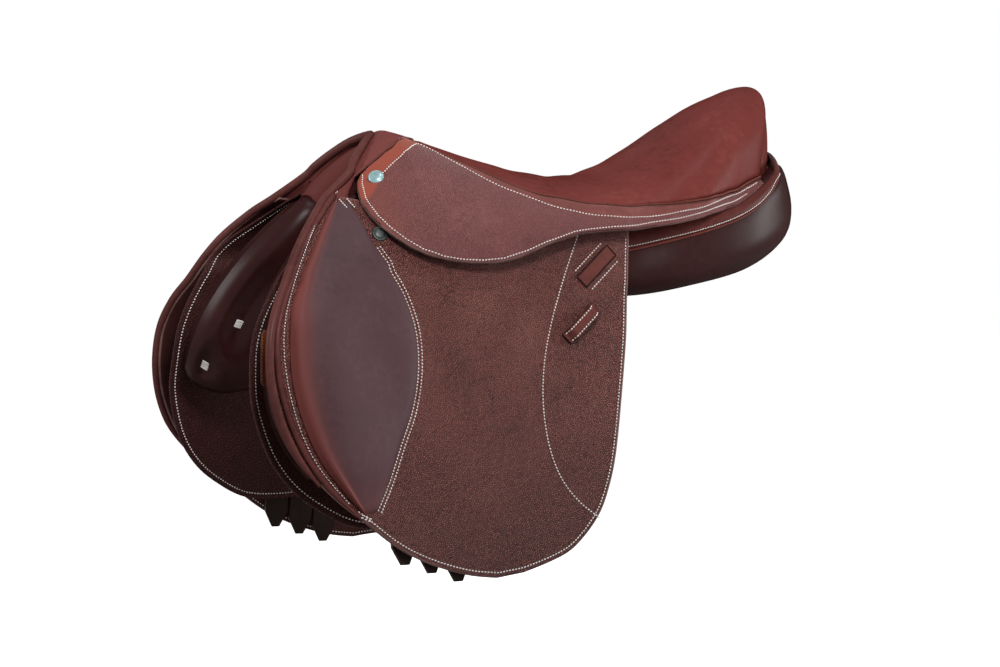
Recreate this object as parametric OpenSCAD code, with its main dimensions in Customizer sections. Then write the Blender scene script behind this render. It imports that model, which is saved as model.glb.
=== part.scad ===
// Jumping saddle: sprung seat on a tree, two hinged flaps and skirts, stirrup bars and girth billets.
// X runs from the pommel back to the cantle, Y from the near (left) side to the off side, Z is up.
// The origin is in the gullet, under the deepest part of the seat, at the level of the horse's back.

/* [Seat] */
// Length from the front of the pommel to the back of the cantle
seat_l = 400; // [370:5:430]
// Height of the cantle above the horse's back
cantle_h = 200; // [188:2:214]
// Half the width across the skirts at their foot
half_w = 146; // [142:1:152]
// Height of the level at which the skirts hang upright
skirt_foot_h = 20; // [16:1:24]
// Radius of the cantle's rolled rim
rim_r = 13; // [8:1:18]
// Rake of the cantle's ends towards the front
rim_rake = 32; // [20:1:40]
// Depth of the dish across the seat
dish_depth = 4; // [0:0.5:8]
// Thickness of the seat leather
seat_t = 3; // [2:0.5:4]
// Depth under the seat's surface where the foam ends
foam_depth = 21; // [18:1:23]

/* [Tree] */
// Depth under the seat's surface of the tree's upper face
tree_depth = 25; // [25:0.5:28]
// Thickness of the tree
tree_t = 9; // [6:0.5:9]
// Thickness of the head plate
head_plate_t = 3; // [2:0.5:4]
// Thickness of the seat webs
web_t = 1.2; // [0.8:0.2:1.6]
// Half the width of the gullet lining
gullet_half_w = 46; // [40:1:50]
// Sag of the gullet lining at its edges
gullet_sag = 9; // [5:1:14]
// Thickness of the lining leathers
lining_t = 2; // [1.5:0.5:3]

/* [Skirts] */
// Thickness of the skirts
skirt_t = 4.5; // [3:0.5:5]
// Radius of the pommel's front binding
binding_r = 4; // [3:0.5:5]
// Radius of a saddle stud
stud_r = 7.5; // [5:0.5:9]
// Height of a saddle stud's dome
stud_h = 3; // [2:0.5:4]

/* [Flaps] */
// Length of a flap along its hinge line, front to back
flap_l = 400; // [390:2:410]
// Drop of a flap below its hinge line
flap_drop = 294; // [270:2:310]
// Thickness of a flap
flap_t = 5; // [4:0.5:6]
// Inset of a flap's outer face from the skirt's outer face at the hinge line
flap_inset = 14; // [12:0.5:17]
// Height of the middle of the hinge line above the horse's back
hinge_h = 30; // [28:1:32]
// Lean of a flap outwards from the vertical
flap_tilt = 13.6; // [11:0.1:15]
// Turn of a flap outwards towards its front
flap_yaw = 4.7; // [3:0.1:6]
// Rise of a hinge line towards its back
flap_pitch = 6.3; // [5:0.1:7]
// Height over which a flap bends in above its hinge line
top_bend = 150; // [144:1:160]
// Rise of a flap over the knee block
knee_bulge = 18; // [12:1:22]
// Crown of the knee pad on the flap
pad_crown = 8; // [4:0.5:10]
// Radius of the roll along a flap's front edge
roll_r = 5.5; // [4:0.5:6]

/* [Keepers] */
// Length of a stirrup leather keeper
keeper_l = 46; // [40:1:50]
// Width of a stirrup leather keeper
keeper_w = 13; // [10:1:16]
// Thickness of a keeper's leather
keeper_t = 2.4; // [1.5:0.1:3]
// Clear height inside the lower keeper
keeper_gap = 5; // [4.2:0.1:7]
// Slant of the keepers from the hinge line
keeper_slant = 35; // [25:1:45]

/* [Sweat flaps and blocks] */
// Gap between a flap and its sweat flap, where the billets hang
billet_room = 14; // [13:0.5:18]
// Thickness of a sweat flap
sweat_t = 4; // [3:0.5:5]
// Depth that a sweat flap is set in behind the knee block
knee_room = 19; // [12:0.5:20]
// Thickness of a thigh block
thigh_t = 11; // [8:0.5:12]

/* [Panels] */
// Half the thickness of a panel at its thickest
panel_half_t = 37; // [34:0.5:38]
// Depth of the sewn tufts in a panel
tuft_depth = 6; // [0:0.5:9]
// Height of the facing strip above a rear panel
facing_w = 11; // [9:0.5:13]

/* [Girth billets] */
// Width of a billet
billet_w = 23; // [20:0.5:24]
// Thickness of a billet
billet_t = 4; // [3:0.5:5]
// Distance between the centre lines of two billets
billet_pitch = 25.5; // [25:0.5:27]
// Length of the front billet below its pivot
billet_l = 263; // [250:1:280]
// Extra length of each billet towards the back
billet_step = 11.5; // [8:0.5:14]
// Number of holes in a billet
hole_count = 8; // [4:1:9]
// Radius of a billet hole
hole_r = 2.5; // [2:0.1:3]
// Distance between two billet holes
hole_pitch = 20; // [16:1:25]

/* [Stirrup bars] */
// Length of a stirrup bar's back plate
bar_l = 84; // [76:1:90]
// Radius of a stirrup bar
bar_r = 4.5; // [4:0.1:5]
// Clear gap between a stirrup bar and its plate
bar_gap = 8.4; // [8:0.1:8.8]
// Height of a stirrup bar above the horse's back
bar_h = 65; // [64:0.5:67]
// Height of a stirrup bar's back plate
plate_h = 19; // [16:0.5:20]
// Thickness of a stirrup bar's back plate
plate_t = 3; // [2.5:0.5:3.5]
// Thickness of the safety catch
catch_t = 3; // [2:0.5:4]
// Length of the safety catch from its pivot to its thumb end
catch_l = 11; // [8:0.5:12]

/* [Hidden] */

// Colours of the leathers, foams and metals
seat_brown = "#4a2418";
skirt_brown = "#43231a";
flap_brown = "#4b2a20";
pad_brown = "#4a2724";
panel_brown = "#2a1715";
lining_brown = "#35201a";
billet_black = "#16110f";
foam_cream = "#d8ccb0";
web_white = "#d9d4c6";
tree_black = "#202020";
steel_grey = "#b5b8ba";
stud_teal = "#7fa9a4";

// Clear gap between neighbouring pieces
gap = 0.4;
// Looser gap where two curved pieces lie on each other
foam_gap = 1;
// Gap along a seam, as a share of the seat length
seam_gap = 0.004;
// Gap along the skirt's lifting line each side, as a share of the quarter turn
lift_gap = 0.0036;
// Gap at a hinge line, each side
hinge_gap = 1;
// Sides of a round that nothing turns in, and of one that something does
sides = 8;
round_fn = 48;

// Places along the saddle are shares of the seat length, heights of the cantle height
ridge_shares = [[-0.62, 0.44], [-0.55, 0.575], [-0.48, 0.69], [-0.43, 0.74], [-0.4125, 0.75], [-0.3, 0.68],
    [-0.1625, 0.6], [-0.0575, 0.56], [0.05, 0.555], [0.155, 0.607], [0.265, 0.718], [0.3725, 0.857],
    [0.485, 0.973], [0.5675, 1.01], [0.62, 1.015]];
// Half widths along the saddle, as shares of the half width
width_shares = [[-0.62, 1], [-0.55, 1.02], [-0.48, 1.01], [-0.4, 1], [-0.2, 1], [0, 0.995], [0.15, 0.94],
    [0.305, 0.815], [0.4, 0.715], [0.5, 0.585], [0.58, 0.47], [0.62, 0.4]];
// Fullness of the cross-section along the saddle: above one is peaked, below one is boxy
fullness = [[-0.62, 1.5], [-0.43, 1.4], [-0.3, 1.15], [-0.15, 1], [0, 0.9], [0.15, 0.78], [0.3, 0.6],
    [0.5, 0.48], [0.62, 0.46]];
// Dish of the seat along the saddle, as a share of its depth
dish_shares = [[-0.3, 0], [-0.1, 0.1], [0.2, 1], [0.4, 1], [0.55, 0.6], [0.62, 0.4]];
// Edges around the saddle, as shares of the quarter turn from the ridge down to the foot
seam_turn = [[-0.35, 0.1], [-0.31, 0.15], [-0.25, 0.324], [-0.2, 0.45], [-0.1, 0.511], [0.015, 0.55],
    [0.14, 0.638], [0.305, 0.77], [0.42, 0.815], [0.58, 0.835]];
foot_turn = [[-0.556, 0.4], [-0.55, 0.5], [-0.54, 0.57], [-0.4875, 0.765], [-0.3975, 0.903], [-0.3, 0.954],
    [-0.2225, 0.927], [-0.13, 0.84], [-0.035, 0.79], [0.02, 0.786], [0.125, 0.797], [0.29, 0.835],
    [0.43, 0.862], [0.58, 0.848]];
cut_turn = [[-0.52, 0.84], [-0.4875, 0.768], [-0.45, 0.695], [-0.42, 0.65], [-0.39, 0.625], [-0.35, 0.625],
    [-0.3, 0.635], [-0.2225, 0.661], [-0.13, 0.687], [-0.035, 0.735], [0.02, 0.776], [0.06, 0.81]];
// Squareness of the tree's ring seen from above: two is an ellipse, higher is a box
tree_box = 5;
tree_middle = 0.07;
tree_half = 0.46;
tree_slot_half = 0.34;
pommel_front = -0.43;
pommel_back = -0.345;
corner_place = -0.553;
corner_turn = 0.35;
seat_end = 0.58;
skirt_end = 0.575;
lobe_start = -0.4865;
lobe_end = 0.015;

// Flap outlines from the hinge line down, as shares of the flap's length and drop
flap_front = [[-0.44, -0.003], [-0.481, -0.075], [-0.517, -0.177], [-0.539, -0.265], [-0.546, -0.32],
    [-0.536, -0.405], [-0.514, -0.507], [-0.4825, -0.599], [-0.44, -0.687], [-0.395, -0.759], [-0.335, -0.85],
    [-0.28, -0.905], [-0.225, -0.947], [-0.1675, -0.98], [-0.1075, -1]];
flap_back = [[0.405, -0.003], [0.392, -0.071], [0.38, -0.135], [0.366, -0.2], [0.345, -0.31], [0.319, -0.422],
    [0.295, -0.52], [0.2725, -0.609], [0.25, -0.69], [0.225, -0.762], [0.1875, -0.844], [0.1425, -0.905],
    [0.0865, -0.956], [0.025, -0.981], [-0.0425, -0.998]];
// Share of the flap's front edge that carries the roll
roll_share = 0.67;
// The flap above its hinge line: upper edge from the front to the back, its heights as shares of the cantle's
flap_top_edge = [[-0.205, 0.448], [-0.175, 0.353], [-0.14, 0.2425], [-0.085, 0.155], [0, 0.118],
    [0.15, 0.114], [0.275, 0.108], [0.35, 0.091], [0.4125, 0.0588]];
flap_top_bow = 0.012;
// Knee pad below the hinge line, and its flat upper part with heights as shares of the cantle's
pad_front = [[-0.432, -0.01], [-0.482, -0.095], [-0.5175, -0.214], [-0.5225, -0.337], [-0.5075, -0.463],
    [-0.4775, -0.575], [-0.4375, -0.677], [-0.395, -0.748]];
pad_back = [[-0.225, -0.01], [-0.2025, -0.095], [-0.1925, -0.204], [-0.205, -0.323], [-0.2375, -0.442],
    [-0.2825, -0.544], [-0.33, -0.65], [-0.378, -0.738]];
pad_top_front = [[-0.255, 0.338], [-0.313, 0.25], [-0.372, 0.1352], [-0.428, 0.0147]];
pad_top_back = [[-0.24, 0.3234], [-0.247, 0.2205], [-0.245, 0.1176], [-0.225, 0.0147]];
// Sweat flap outlines from the top down
sweat_front = [[-0.2375, 0.306], [-0.325, 0.204], [-0.395, 0.122], [-0.466, 0.009], [-0.524, -0.119],
    [-0.565, -0.2515], [-0.572, -0.36], [-0.549, -0.504], [-0.506, -0.615], [-0.434, -0.7],
    [-0.3625, -0.756], [-0.28, -0.78], [-0.2, -0.793]];
sweat_back = [[0.27, 0.082], [0.265, 0.051], [0.26, 0.017], [0.25, -0.03], [0.235, -0.102], [0.21, -0.204],
    [0.18, -0.306], [0.145, -0.425], [0.11, -0.55], [0.07, -0.65], [0.02, -0.725], [-0.05, -0.775],
    [-0.125, -0.793]];
sweat_top = [[-0.2375, 0.306], [-0.2, 0.2], [-0.16, 0.13], [-0.1, 0.09], [0, 0.075], [0.1, 0.078],
    [0.2, 0.081], [0.27, 0.082]];
// Knee and thigh block outlines from the top down
knee_front = [[-0.465, -0.045], [-0.52, -0.15], [-0.55, -0.27], [-0.555, -0.38],
    [-0.535, -0.49], [-0.49, -0.6]];
knee_back = [[-0.405, -0.045], [-0.41, -0.15], [-0.42, -0.27], [-0.425, -0.38],
    [-0.43, -0.49], [-0.435, -0.6]];
thigh_front = [[0.07, -0.17], [0.05, -0.25], [0.03, -0.35], [0.01, -0.45], [0, -0.55]];
thigh_back = [[0.17, -0.19], [0.16, -0.27], [0.13, -0.36], [0.1, -0.45], [0.06, -0.53]];
// Where the flap rises over the knee block
knee_start = -0.27;
knee_run = 0.21;
knee_fade = 0.16;
knee_low = 0.6;

// Panel stations from the front to the back: upper and lower points as shares of the seat length, the
// half width and the cantle height, and the swell as a share of the half thickness
panel_top = [[-0.565, 0.425, 0.38], [-0.5425, 0.43, 0.375], [-0.49, 0.45, 0.36], [-0.4125, 0.475, 0.335],
    [-0.325, 0.475, 0.31], [-0.225, 0.475, 0.295], [-0.1, 0.46, 0.285], [0.025, 0.5, 0.28],
    [0.15, 0.52, 0.315], [0.3, 0.5, 0.375], [0.45, 0.43, 0.465], [0.555, 0.34, 0.55], [0.6, 0.29, 0.59]];
panel_foot = [[-0.825, 0.77, -0.39], [-0.805, 0.775, -0.46], [-0.725, 0.78, -0.52], [-0.595, 0.755, -0.46],
    [-0.45, 0.71, -0.29], [-0.28, 0.65, -0.13], [-0.125, 0.575, -0.045], [0.025, 0.54, -0.035],
    [0.15, 0.52, -0.04], [0.3, 0.48, 0.005], [0.455, 0.39, 0.11], [0.57, 0.315, 0.25], [0.625, 0.275, 0.41]];
panel_swell = [0.22, 0.43, 0.54, 0.57, 0.56, 0.6, 0.69, 0.82, 0.96, 0.97, 0.83, 0.62, 0.33];
panel_box = 0.68;
panel_bow = 0.06;
panel_bow_end = 0.45;
// Tufts as a share along the panel and a turn around it
tufts = [[0.11, 255], [0.14, 225]];
tuft_reach = 0.035;
tuft_turn = 22;
// Heights of the gullet lining along the saddle
gullet_shares = [[-0.43, 0.56], [-0.355, 0.504], [-0.3, 0.48], [-0.15, 0.4], [0, 0.36], [0.15, 0.385],
    [0.3, 0.45], [0.45, 0.53], [0.575, 0.565]];
cantle_foot = 0.585;
// Room under a padded piece on a curved one
pad_gap = 1.4;
// Room for the faces of the tree over the head plate, and the plate's ends as shares of the seat length
head_gap = 2.5;
head_front = -0.385;
head_back = -0.325;
head_depth = tree_depth + tree_t + head_gap;

// Placing of the flap's own frame
hinge_x = -0.3 * seat_l;
hinge_y = half_w - flap_inset;
flap_size = [flap_l, flap_drop];
flap_top_size = [flap_l, cantle_h];
panel_size = [seat_l, half_w, cantle_h];
billet_x = -0.2425 * flap_l;
billet_z = -6;
billet_top = 8;
billet_tip = 16;
billet_lean = 6.5;
hole_first = 38;
web_gap = 0.6;
web_low = -0.04;
web_high = 0.085;
web_front = -0.28;
web_back = -0.09;
block_skin = 2;
block_room = 2.5;
bar_x = -0.4 * seat_l;
bar_round = 6;
neck_cut = 0.5;
neck_l = 2;
catch_r = 4;
catch_pin_r = 1.5;
catch_play = 0.05;
catch_tip_r = 2.5;
stud_place = -0.504;
stud_turn = 0.385;
flap_stud = [-0.222, 0.319];
loop_place = [0.23, -0.255];
strip_place = [0.302, -0.078];
loop_foot = 4;

// Blends and tables
function mix(a, b, t) = a + (b - a) * t;
function ease(t) = let (c = min(max(t, 0), 1)) c * c * (3 - 2 * c);
function flatten(rows) = [for (row = rows) for (p = row) p];
function unit(v) = v / norm(v);
function curl(a, b, c, d, t) =
    0.5 * (2 * b + (c - a) * t + (2 * a - 5 * b + 4 * c - d) * t * t + (3 * b - a - 3 * c + d) * t * t * t);
function along(points, t) =
    let (n = len(points) - 1, f = min(max(t, 0), 1) * n, i = min(floor(f), n - 1))
    curl(points[max(i - 1, 0)], points[i], points[i + 1], points[min(i + 2, n)], f - i);
function slope(table, i) =
    let (a = table[max(i - 1, 0)], b = table[min(i + 1, len(table) - 1)]) (b[1] - a[1]) / (b[0] - a[0]);
function look(table, x) =
    let (i = max(concat([0], [for (k = [0 : len(table) - 2]) if (x >= table[k][0]) k])),
        run = table[i + 1][0] - table[i][0], t = min(max((x - table[i][0]) / run, 0), 1), c = ease(t),
        a = table[i][1] + slope(table, i) * run * t,
        b = table[i + 1][1] - slope(table, i + 1) * run * (1 - t))
    mix(a, b, c);
function steps(from, to, count) = [for (i = [0 : count]) mix(from, to, i / count)];
function in_size(points, size) = [for (p = points) [for (k = [0 : len(size) - 1]) p[k] * size[k]]];

// The saddle's upper surface at a share along the seat, a turn from the ridge and a depth below it
function dish(share, turn) =
    dish_depth * look(dish_shares, share) * pow(max(1 - turn * turn / 0.3, 0), 2);
function dome(share, turn, depth) =
    let (w = half_w * look(width_shares, share) - depth,
        h = cantle_h * look(ridge_shares, share) - depth - skirt_foot_h)
    [share * seat_l, -w * sin(90 * turn),
        skirt_foot_h + h * pow(cos(90 * turn), look(fullness, share)) - dish(share, turn)];
function dome_normal(share, turn) =
    let (d = 0.01, a = dome(share + d, turn, 0) - dome(share - d, turn, 0),
        b = dome(share, turn + d, 0) - dome(share, turn - d, 0))
    unit(cross(b, a));

// Seat rows run across from the off side to the near side, columns back from the pommel to the rim
seat_columns = concat(steps(0, 0.92, 18), [0.95, 0.972, 0.988, 1]);
seat_rows = steps(-1, 1, 14);
function rim_drop(share) =
    let (t = max(1 - (seat_end - share) * seat_l / rim_r, 0)) rim_r * (1 - sqrt(max(1 - t * t, 0)));
function raked(share, turn, depth) =
    dome(share, turn, depth) - [rim_rake * turn * turn * ease((share - 0.2) / 0.38), 0, 0];
function seat_point(t, side, inset, depth) =
    let (share = mix(cap_back(side * seam_turn[0][1]) + seam_gap, seat_end, t),
        turn = side * (look(seam_turn, share) - inset))
    raked(share, turn, depth + rim_drop(share));
function seat_grid(rows, columns, inset, depth) =
    [for (side = rows) [for (t = columns) seat_point(t, side, inset, depth)]];

// Solids between two grids, and through a row of rings
module sheet(outer, inner) {
    n = len(outer);
    m = len(outer[0]);
    low = n * m;
    upper_faces = [for (i = [0 : n - 2], j = [0 : m - 2]) let (a = i * m + j)
        each [[a, a + 1, a + m + 1], [a, a + m + 1, a + m]]];
    rim = concat([for (j = [0 : m - 2]) j], [for (i = [0 : n - 2]) i * m + m - 1],
        [for (j = [m - 1 : -1 : 1]) (n - 1) * m + j], [for (i = [n - 1 : -1 : 1]) i * m]);
    lower_faces = [for (f = upper_faces) [f[0] + low, f[2] + low, f[1] + low]];
    wall_faces = [for (k = [0 : len(rim) - 1]) let (a = rim[k], b = rim[(k + 1) % len(rim)])
        each [[b, a, a + low], [b, a + low, b + low]]];
    polyhedron(concat(flatten(outer), flatten(inner)), concat(upper_faces, lower_faces, wall_faces),
        convexity = 8);
}

module loft(rings) {
    n = len(rings);
    m = len(rings[0]);
    share = [for (p = rings[0]) 1 / m];
    middle = [for (ring = [rings[0], rings[n - 1]]) share * ring];
    walls = [for (i = [0 : n - 2], j = [0 : m - 1]) let (a = i * m + j, b = i * m + (j + 1) % m)
        each [[a, b, b + m], [a, b + m, a + m]]];
    caps = [for (j = [0 : m - 1]) let (k = (j + 1) % m)
        each [[j, n * m, k], [(n - 1) * m + j, (n - 1) * m + k, n * m + 1]]];
    polyhedron(concat(flatten(rings), middle), concat(walls, caps), convexity = 8);
}

module loop_loft(rings) {
    n = len(rings);
    m = len(rings[0]);
    walls = [for (i = [0 : n - 1], j = [0 : m - 1])
        let (a = i * m + j, b = i * m + (j + 1) % m, c = ((i + 1) % n) * m)
        each [[a, b, c + (j + 1) % m], [a, c + (j + 1) % m, c + j]]];
    polyhedron(flatten(rings), walls, convexity = 10);
}

module tube(path, r) {
    last = len(path) - 1;
    loft([for (i = [0 : last])
        let (t = unit(path[min(i + 1, last)] - path[max(i - 1, 0)]), a = unit(cross(t, [0, 1, 0.01])),
            b = cross(a, t))
        [for (k = [0 : sides - 1]) path[i] + r * (cos(360 * k / sides) * a + sin(360 * k / sides) * b)]]);
}

// The flap's own frame: x back along the hinge line, z up the flap, y in towards the horse
module flap_frame() {
    translate([hinge_x, -hinge_y, hinge_h])
        rotate([0, -flap_pitch, flap_yaw])
            rotate([-flap_tilt, 0, 0])
                children();
}
function top_fall(z) = z > 0 ? z * z / top_bend : 0;
function knee_rise(x, z) =
    knee_bulge * ease((knee_start * flap_l - x) / (knee_run * flap_l)) * ease(-z / (knee_fade * flap_drop))
    * mix(1, knee_low, ease((-z / flap_drop - 0.35) / 0.4));
function flap_out(x, z) = z > 0 ? -top_fall(z) : knee_rise(x, z);
function sweat_out(x, z) = -top_fall(z) - flap_t
    - mix(billet_room, web_t + 2 * gap, ease((z / flap_drop - 0.025) / 0.06))
    - knee_room * ease((-x / flap_l - 0.25) / 0.3) * ease((0.14 - z / flap_drop) / 0.37);
function patch(front, back, rows, cols, size = flap_size) =
    let (a = in_size(front, size), b = in_size(back, size))
    [for (i = [0 : rows]) [for (j = [0 : cols]) mix(along(a, i / rows), along(b, i / rows), j / cols)]];
function stand(grid, out) = [for (row = grid) [for (p = row) [p[0], -out(p[0], p[1]), p[1]]]];

// Tree, webs, foam and gullet
function tree_ring(a) =
    let (r = pow(pow(abs(cos(a)), tree_box) + pow(abs(sin(a)), tree_box), -1 / tree_box),
        c = r * cos(a), s = r * sin(a), wide = mix(0.575, 0.5, ease(c)), slot = mix(0.36, 0.3, ease(c)))
    [[tree_middle + tree_half * c, wide * s], [tree_middle + tree_slot_half * c, slot * s]];

module tree() {
    color(tree_black)
        loop_loft([for (k = [0 : 39]) let (ring = tree_ring(9 * k), outer = ring[0], inner = ring[1])
            [dome(outer[0], outer[1], tree_depth), dome(outer[0], outer[1], tree_depth + tree_t),
                dome(inner[0], inner[1], tree_depth + tree_t), dome(inner[0], inner[1], tree_depth)]]);
}

module head_plate() {
    rows = steps(-0.4, 0.4, 10);
    cols = steps(head_front, head_back, 2);
    color(steel_grey)
        sheet([for (u = rows) [for (s = cols) dome(s, u, head_depth)]],
            [for (u = rows) [for (s = cols) dome(s, u, head_depth + head_plate_t)]]);
}

module seat_webs() {
    cols = steps(-0.36, 0.5, 14);
    top = foam_depth + gap;
    color(web_white)
        for (rows = [[-0.26, -0.06], [0.06, 0.26]])
            sheet([for (u = rows) [for (s = cols) dome(s, u, top)]],
                [for (u = rows) [for (s = cols) dome(s, u, top + web_t)]]);
}

module seat_foam() {
    rows = steps(-1, 1, 10);
    cols = steps(0.05, 0.95, 14);
    color(foam_cream)
        sheet(seat_grid(rows, cols, 0.02, seat_t + pad_gap),
            seat_grid(rows, cols, 0.02, foam_depth - foam_gap));
}

// The lining keeps under the head plate, and is free of it beyond the plate's ends
function gullet_h(share) =
    let (past = max(head_front - share, share - head_back, 0))
    min(cantle_h * look(gullet_shares, share),
        dome(share, 0, head_depth + head_plate_t)[2] - gap + cantle_h * past);

module gullet_lining() {
    rows = steps(-1, 1, 6);
    cols = concat([-0.43], steps(head_front, head_back, 2), steps(-0.28, 0.575, 12));
    function at(side, share, drop) =
        [share * seat_l, -side * gullet_half_w * mix(1, 0.5, ease((share - 0.25) / 0.25)),
            gullet_h(share) - gullet_sag * side * side - drop];
    color(lining_brown)
        sheet([for (v = rows) [for (s = cols) at(v, s, 0)]],
            [for (v = rows) [for (s = cols) at(v, s, lining_t)]]);
}

// Seat, pommel and cantle
module seat() {
    color(seat_brown)
        sheet(seat_grid(seat_rows, seat_columns, 0.003, 0),
            seat_grid(seat_rows, seat_columns, 0.003, seat_t));
}

function cap_front(turn) = mix(pommel_front, corner_place, pow(abs(turn) / corner_turn, 1.6));
function cap_back(turn) = mix(pommel_back, corner_place + 0.006, pow(abs(turn) / corner_turn, 1.1));
function cap_turn(share) =
    corner_turn * pow((pommel_back - share) / (pommel_back - corner_place - 0.006), 1 / 1.1);

module pommel_cap() {
    rows = steps(-corner_turn, corner_turn, 18);
    function row(u, depth) = [for (t = steps(0, 1, 4)) dome(mix(cap_front(u), cap_back(u), t), u, depth)];
    color(panel_brown)
        sheet([for (u = rows) row(u, 0)], [for (u = rows) row(u, seat_t)]);
}

module pommel_binding() {
    forward = [-binding_r - foam_gap, 0, 0];
    color(lining_brown)
        tube([for (u = steps(-corner_turn, corner_turn, 20)) dome(cap_front(u), u, seat_t / 2) + forward],
            binding_r);
}

module cantle_back() {
    rows = steps(-1, 1, 14);
    function top(v) = seat_point(1, v, 0.003, 0) + [gap, 0, -gap];
    function foot(v) = let (p = top(v)) [p[0] + lining_t, p[1], min(p[2] - lining_t, cantle_h * cantle_foot)];
    function line(v, back) = [for (t = [0, 0.5, 1]) mix(top(v), foot(v), t) + [back, 0, 0]];
    color(seat_brown)
        sheet([for (v = rows) line(v, lining_t)], [for (v = rows) line(v, 0)]);
}

// Skirts: a fixed band and a lobe that lifts off the stirrup bar
skirt_columns = concat(steps(-0.552, -0.54, 3), steps(-0.52, lobe_start, 2), steps(-0.466, lobe_end, 18),
    steps(0.05, skirt_end, 14));
function band_top(share) = share < cap_back(seam_turn[0][1]) ? cap_turn(share) : look(seam_turn, share);
function band_foot(share) =
    share < lobe_end + 0.001 ? min(look(cut_turn, share), look(foot_turn, share)) : look(foot_turn, share);
function skirt_grid(columns, top, foot, cols, depth) =
    [for (t = steps(0, 1, cols)) [for (s = columns) raked(s, mix(top(s), foot(s), t), depth)]];

module skirt_band_form() {
    top = function (s) band_top(s) + 0.009;
    foot = function (s) max(band_foot(s) - lift_gap, band_top(s) + 0.01);
    sheet(skirt_grid(skirt_columns, top, foot, 4, 0), skirt_grid(skirt_columns, top, foot, 4, skirt_t));
}

module skirt_lobe_form() {
    columns = [for (s = skirt_columns) if (s > lobe_start - 0.001 && s < lobe_end + 0.001) s];
    top = function (s) look(cut_turn, s) + lift_gap;
    foot = function (s) max(look(foot_turn, s), look(cut_turn, s) + 0.018);
    sheet(skirt_grid(columns, top, foot, 5, 0), skirt_grid(columns, top, foot, 5, skirt_t));
}

module near_skirt_band() { color(skirt_brown) skirt_band_form(); }
module off_skirt_band() { color(skirt_brown) mirror([0, 1, 0]) skirt_band_form(); }
module near_skirt_lobe() { color(skirt_brown) skirt_lobe_form(); }
module off_skirt_lobe() { color(skirt_brown) mirror([0, 1, 0]) skirt_lobe_form(); }

// Studs: a turned cap standing square to the leather
module stud_form(place, out) {
    translate(place + gap * out)
        rotate([0, acos(out[2]), atan2(out[1], out[0])])
            rotate_extrude($fn = round_fn)
                polygon([[0, 0], [stud_r, 0], [stud_r, stud_h / 3], [stud_r * 0.7, stud_h], [0, stud_h]]);
}

module skirt_stud_form() {
    stud_form(dome(stud_place, stud_turn, 0), dome_normal(stud_place, stud_turn));
}

module flap_stud_form() {
    x = flap_stud[0] * flap_l;
    z = flap_stud[1] * cantle_h - hinge_h;
    flap_frame()
        stud_form([x, top_fall(z), z], unit([0, -1, 2 * z / top_bend]));
}

module near_skirt_stud() { color(stud_teal) skirt_stud_form(); }
module off_skirt_stud() { color(stud_teal) mirror([0, 1, 0]) skirt_stud_form(); }
module near_flap_stud() { color(stud_teal) flap_stud_form(); }
module off_flap_stud() { color(stud_teal) mirror([0, 1, 0]) flap_stud_form(); }

// Flaps, with the part above the hinge line fixed
function flap_top_grid(rows, cols) =
    let (edge = in_size(flap_top_edge, flap_top_size), front = flap_front[0][0] * flap_l,
        back = flap_back[0][0] * flap_l)
    [for (i = [0 : rows]) let (t = 1 - i / rows) [for (j = [0 : cols])
        let (s = j / cols, a = along(edge, s), b = [mix(front, back, s), hinge_gap / 2])
        mix(b, a, t) - [flap_top_bow * flap_l * 4 * t * (1 - t) * pow(1 - s, 3), 0]]];

module flap_top_form() {
    grid = flap_top_grid(5, 20);
    flap_frame()
        sheet(stand(grid, function (x, z) flap_out(x, z)),
            stand(grid, function (x, z) flap_out(x, z) - flap_t));
}

module flap_form() {
    grid = patch(flap_front, flap_back, 24, 12);
    flap_frame()
        sheet(stand(grid, function (x, z) flap_out(x, z)),
            stand(grid, function (x, z) flap_out(x, z) - flap_t));
}

module near_flap_top() { color(flap_brown) flap_top_form(); }
module off_flap_top() { color(flap_brown) mirror([0, 1, 0]) flap_top_form(); }
module near_flap() { color(flap_brown) flap_form(); }
module off_flap() { color(flap_brown) mirror([0, 1, 0]) flap_form(); }

// Knee pads: padded below the hinge line, flat above it
module knee_pad_form() {
    rows = 14;
    cols = 8;
    grid = patch(pad_front, pad_back, rows, cols);
    function crown(i, j) =
        pad_crown * (1 - pow(abs(2 * j / cols - 1), 3)) * ease(4 * i / rows) * ease(5 * (1 - i / rows));
    outer = [for (i = [0 : rows]) [for (j = [0 : cols]) let (p = grid[i][j])
        [p[0], -flap_out(p[0], p[1]) - pad_gap - keeper_t - crown(i, j), p[1]]]];
    flap_frame()
        sheet(outer, stand(grid, function (x, z) flap_out(x, z) + pad_gap));
}

module knee_pad_top_form() {
    grid = patch(pad_top_front, pad_top_back, 6, 4, flap_top_size);
    flap_frame()
        sheet(stand(grid, function (x, z) flap_out(x, z) + gap + keeper_t),
            stand(grid, function (x, z) flap_out(x, z) + gap));
}

module near_knee_pad_top() { color(pad_brown) knee_pad_top_form(); }
module off_knee_pad_top() { color(pad_brown) mirror([0, 1, 0]) knee_pad_top_form(); }
module near_knee_pad() { color(pad_brown) knee_pad_form(); }
module off_knee_pad() { color(pad_brown) mirror([0, 1, 0]) knee_pad_form(); }

// Rolls along the front edges
function roll_path(edge) =
    let (last = len(edge) - 1)
    [for (i = [0 : last])
        let (p = edge[i], t = unit(edge[min(i + 1, last)] - edge[max(i - 1, 0)]),
            q = p + (roll_r + gap) * [t[1], -t[0]])
        [q[0], -flap_out(p[0], p[1]) + flap_t / 3, q[1]]];

module front_roll_form() {
    edge = [for (i = [0 : 26]) along(in_size(flap_front, flap_size), mix(0.004, roll_share, i / 26))];
    flap_frame()
        tube(roll_path(edge), roll_r);
}

module front_roll_top_form() {
    grid = flap_top_grid(8, 20);
    edge = [for (i = [1 : len(grid) - 1]) grid[i][0]];
    flap_frame()
        tube(roll_path(edge), roll_r);
}

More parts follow.
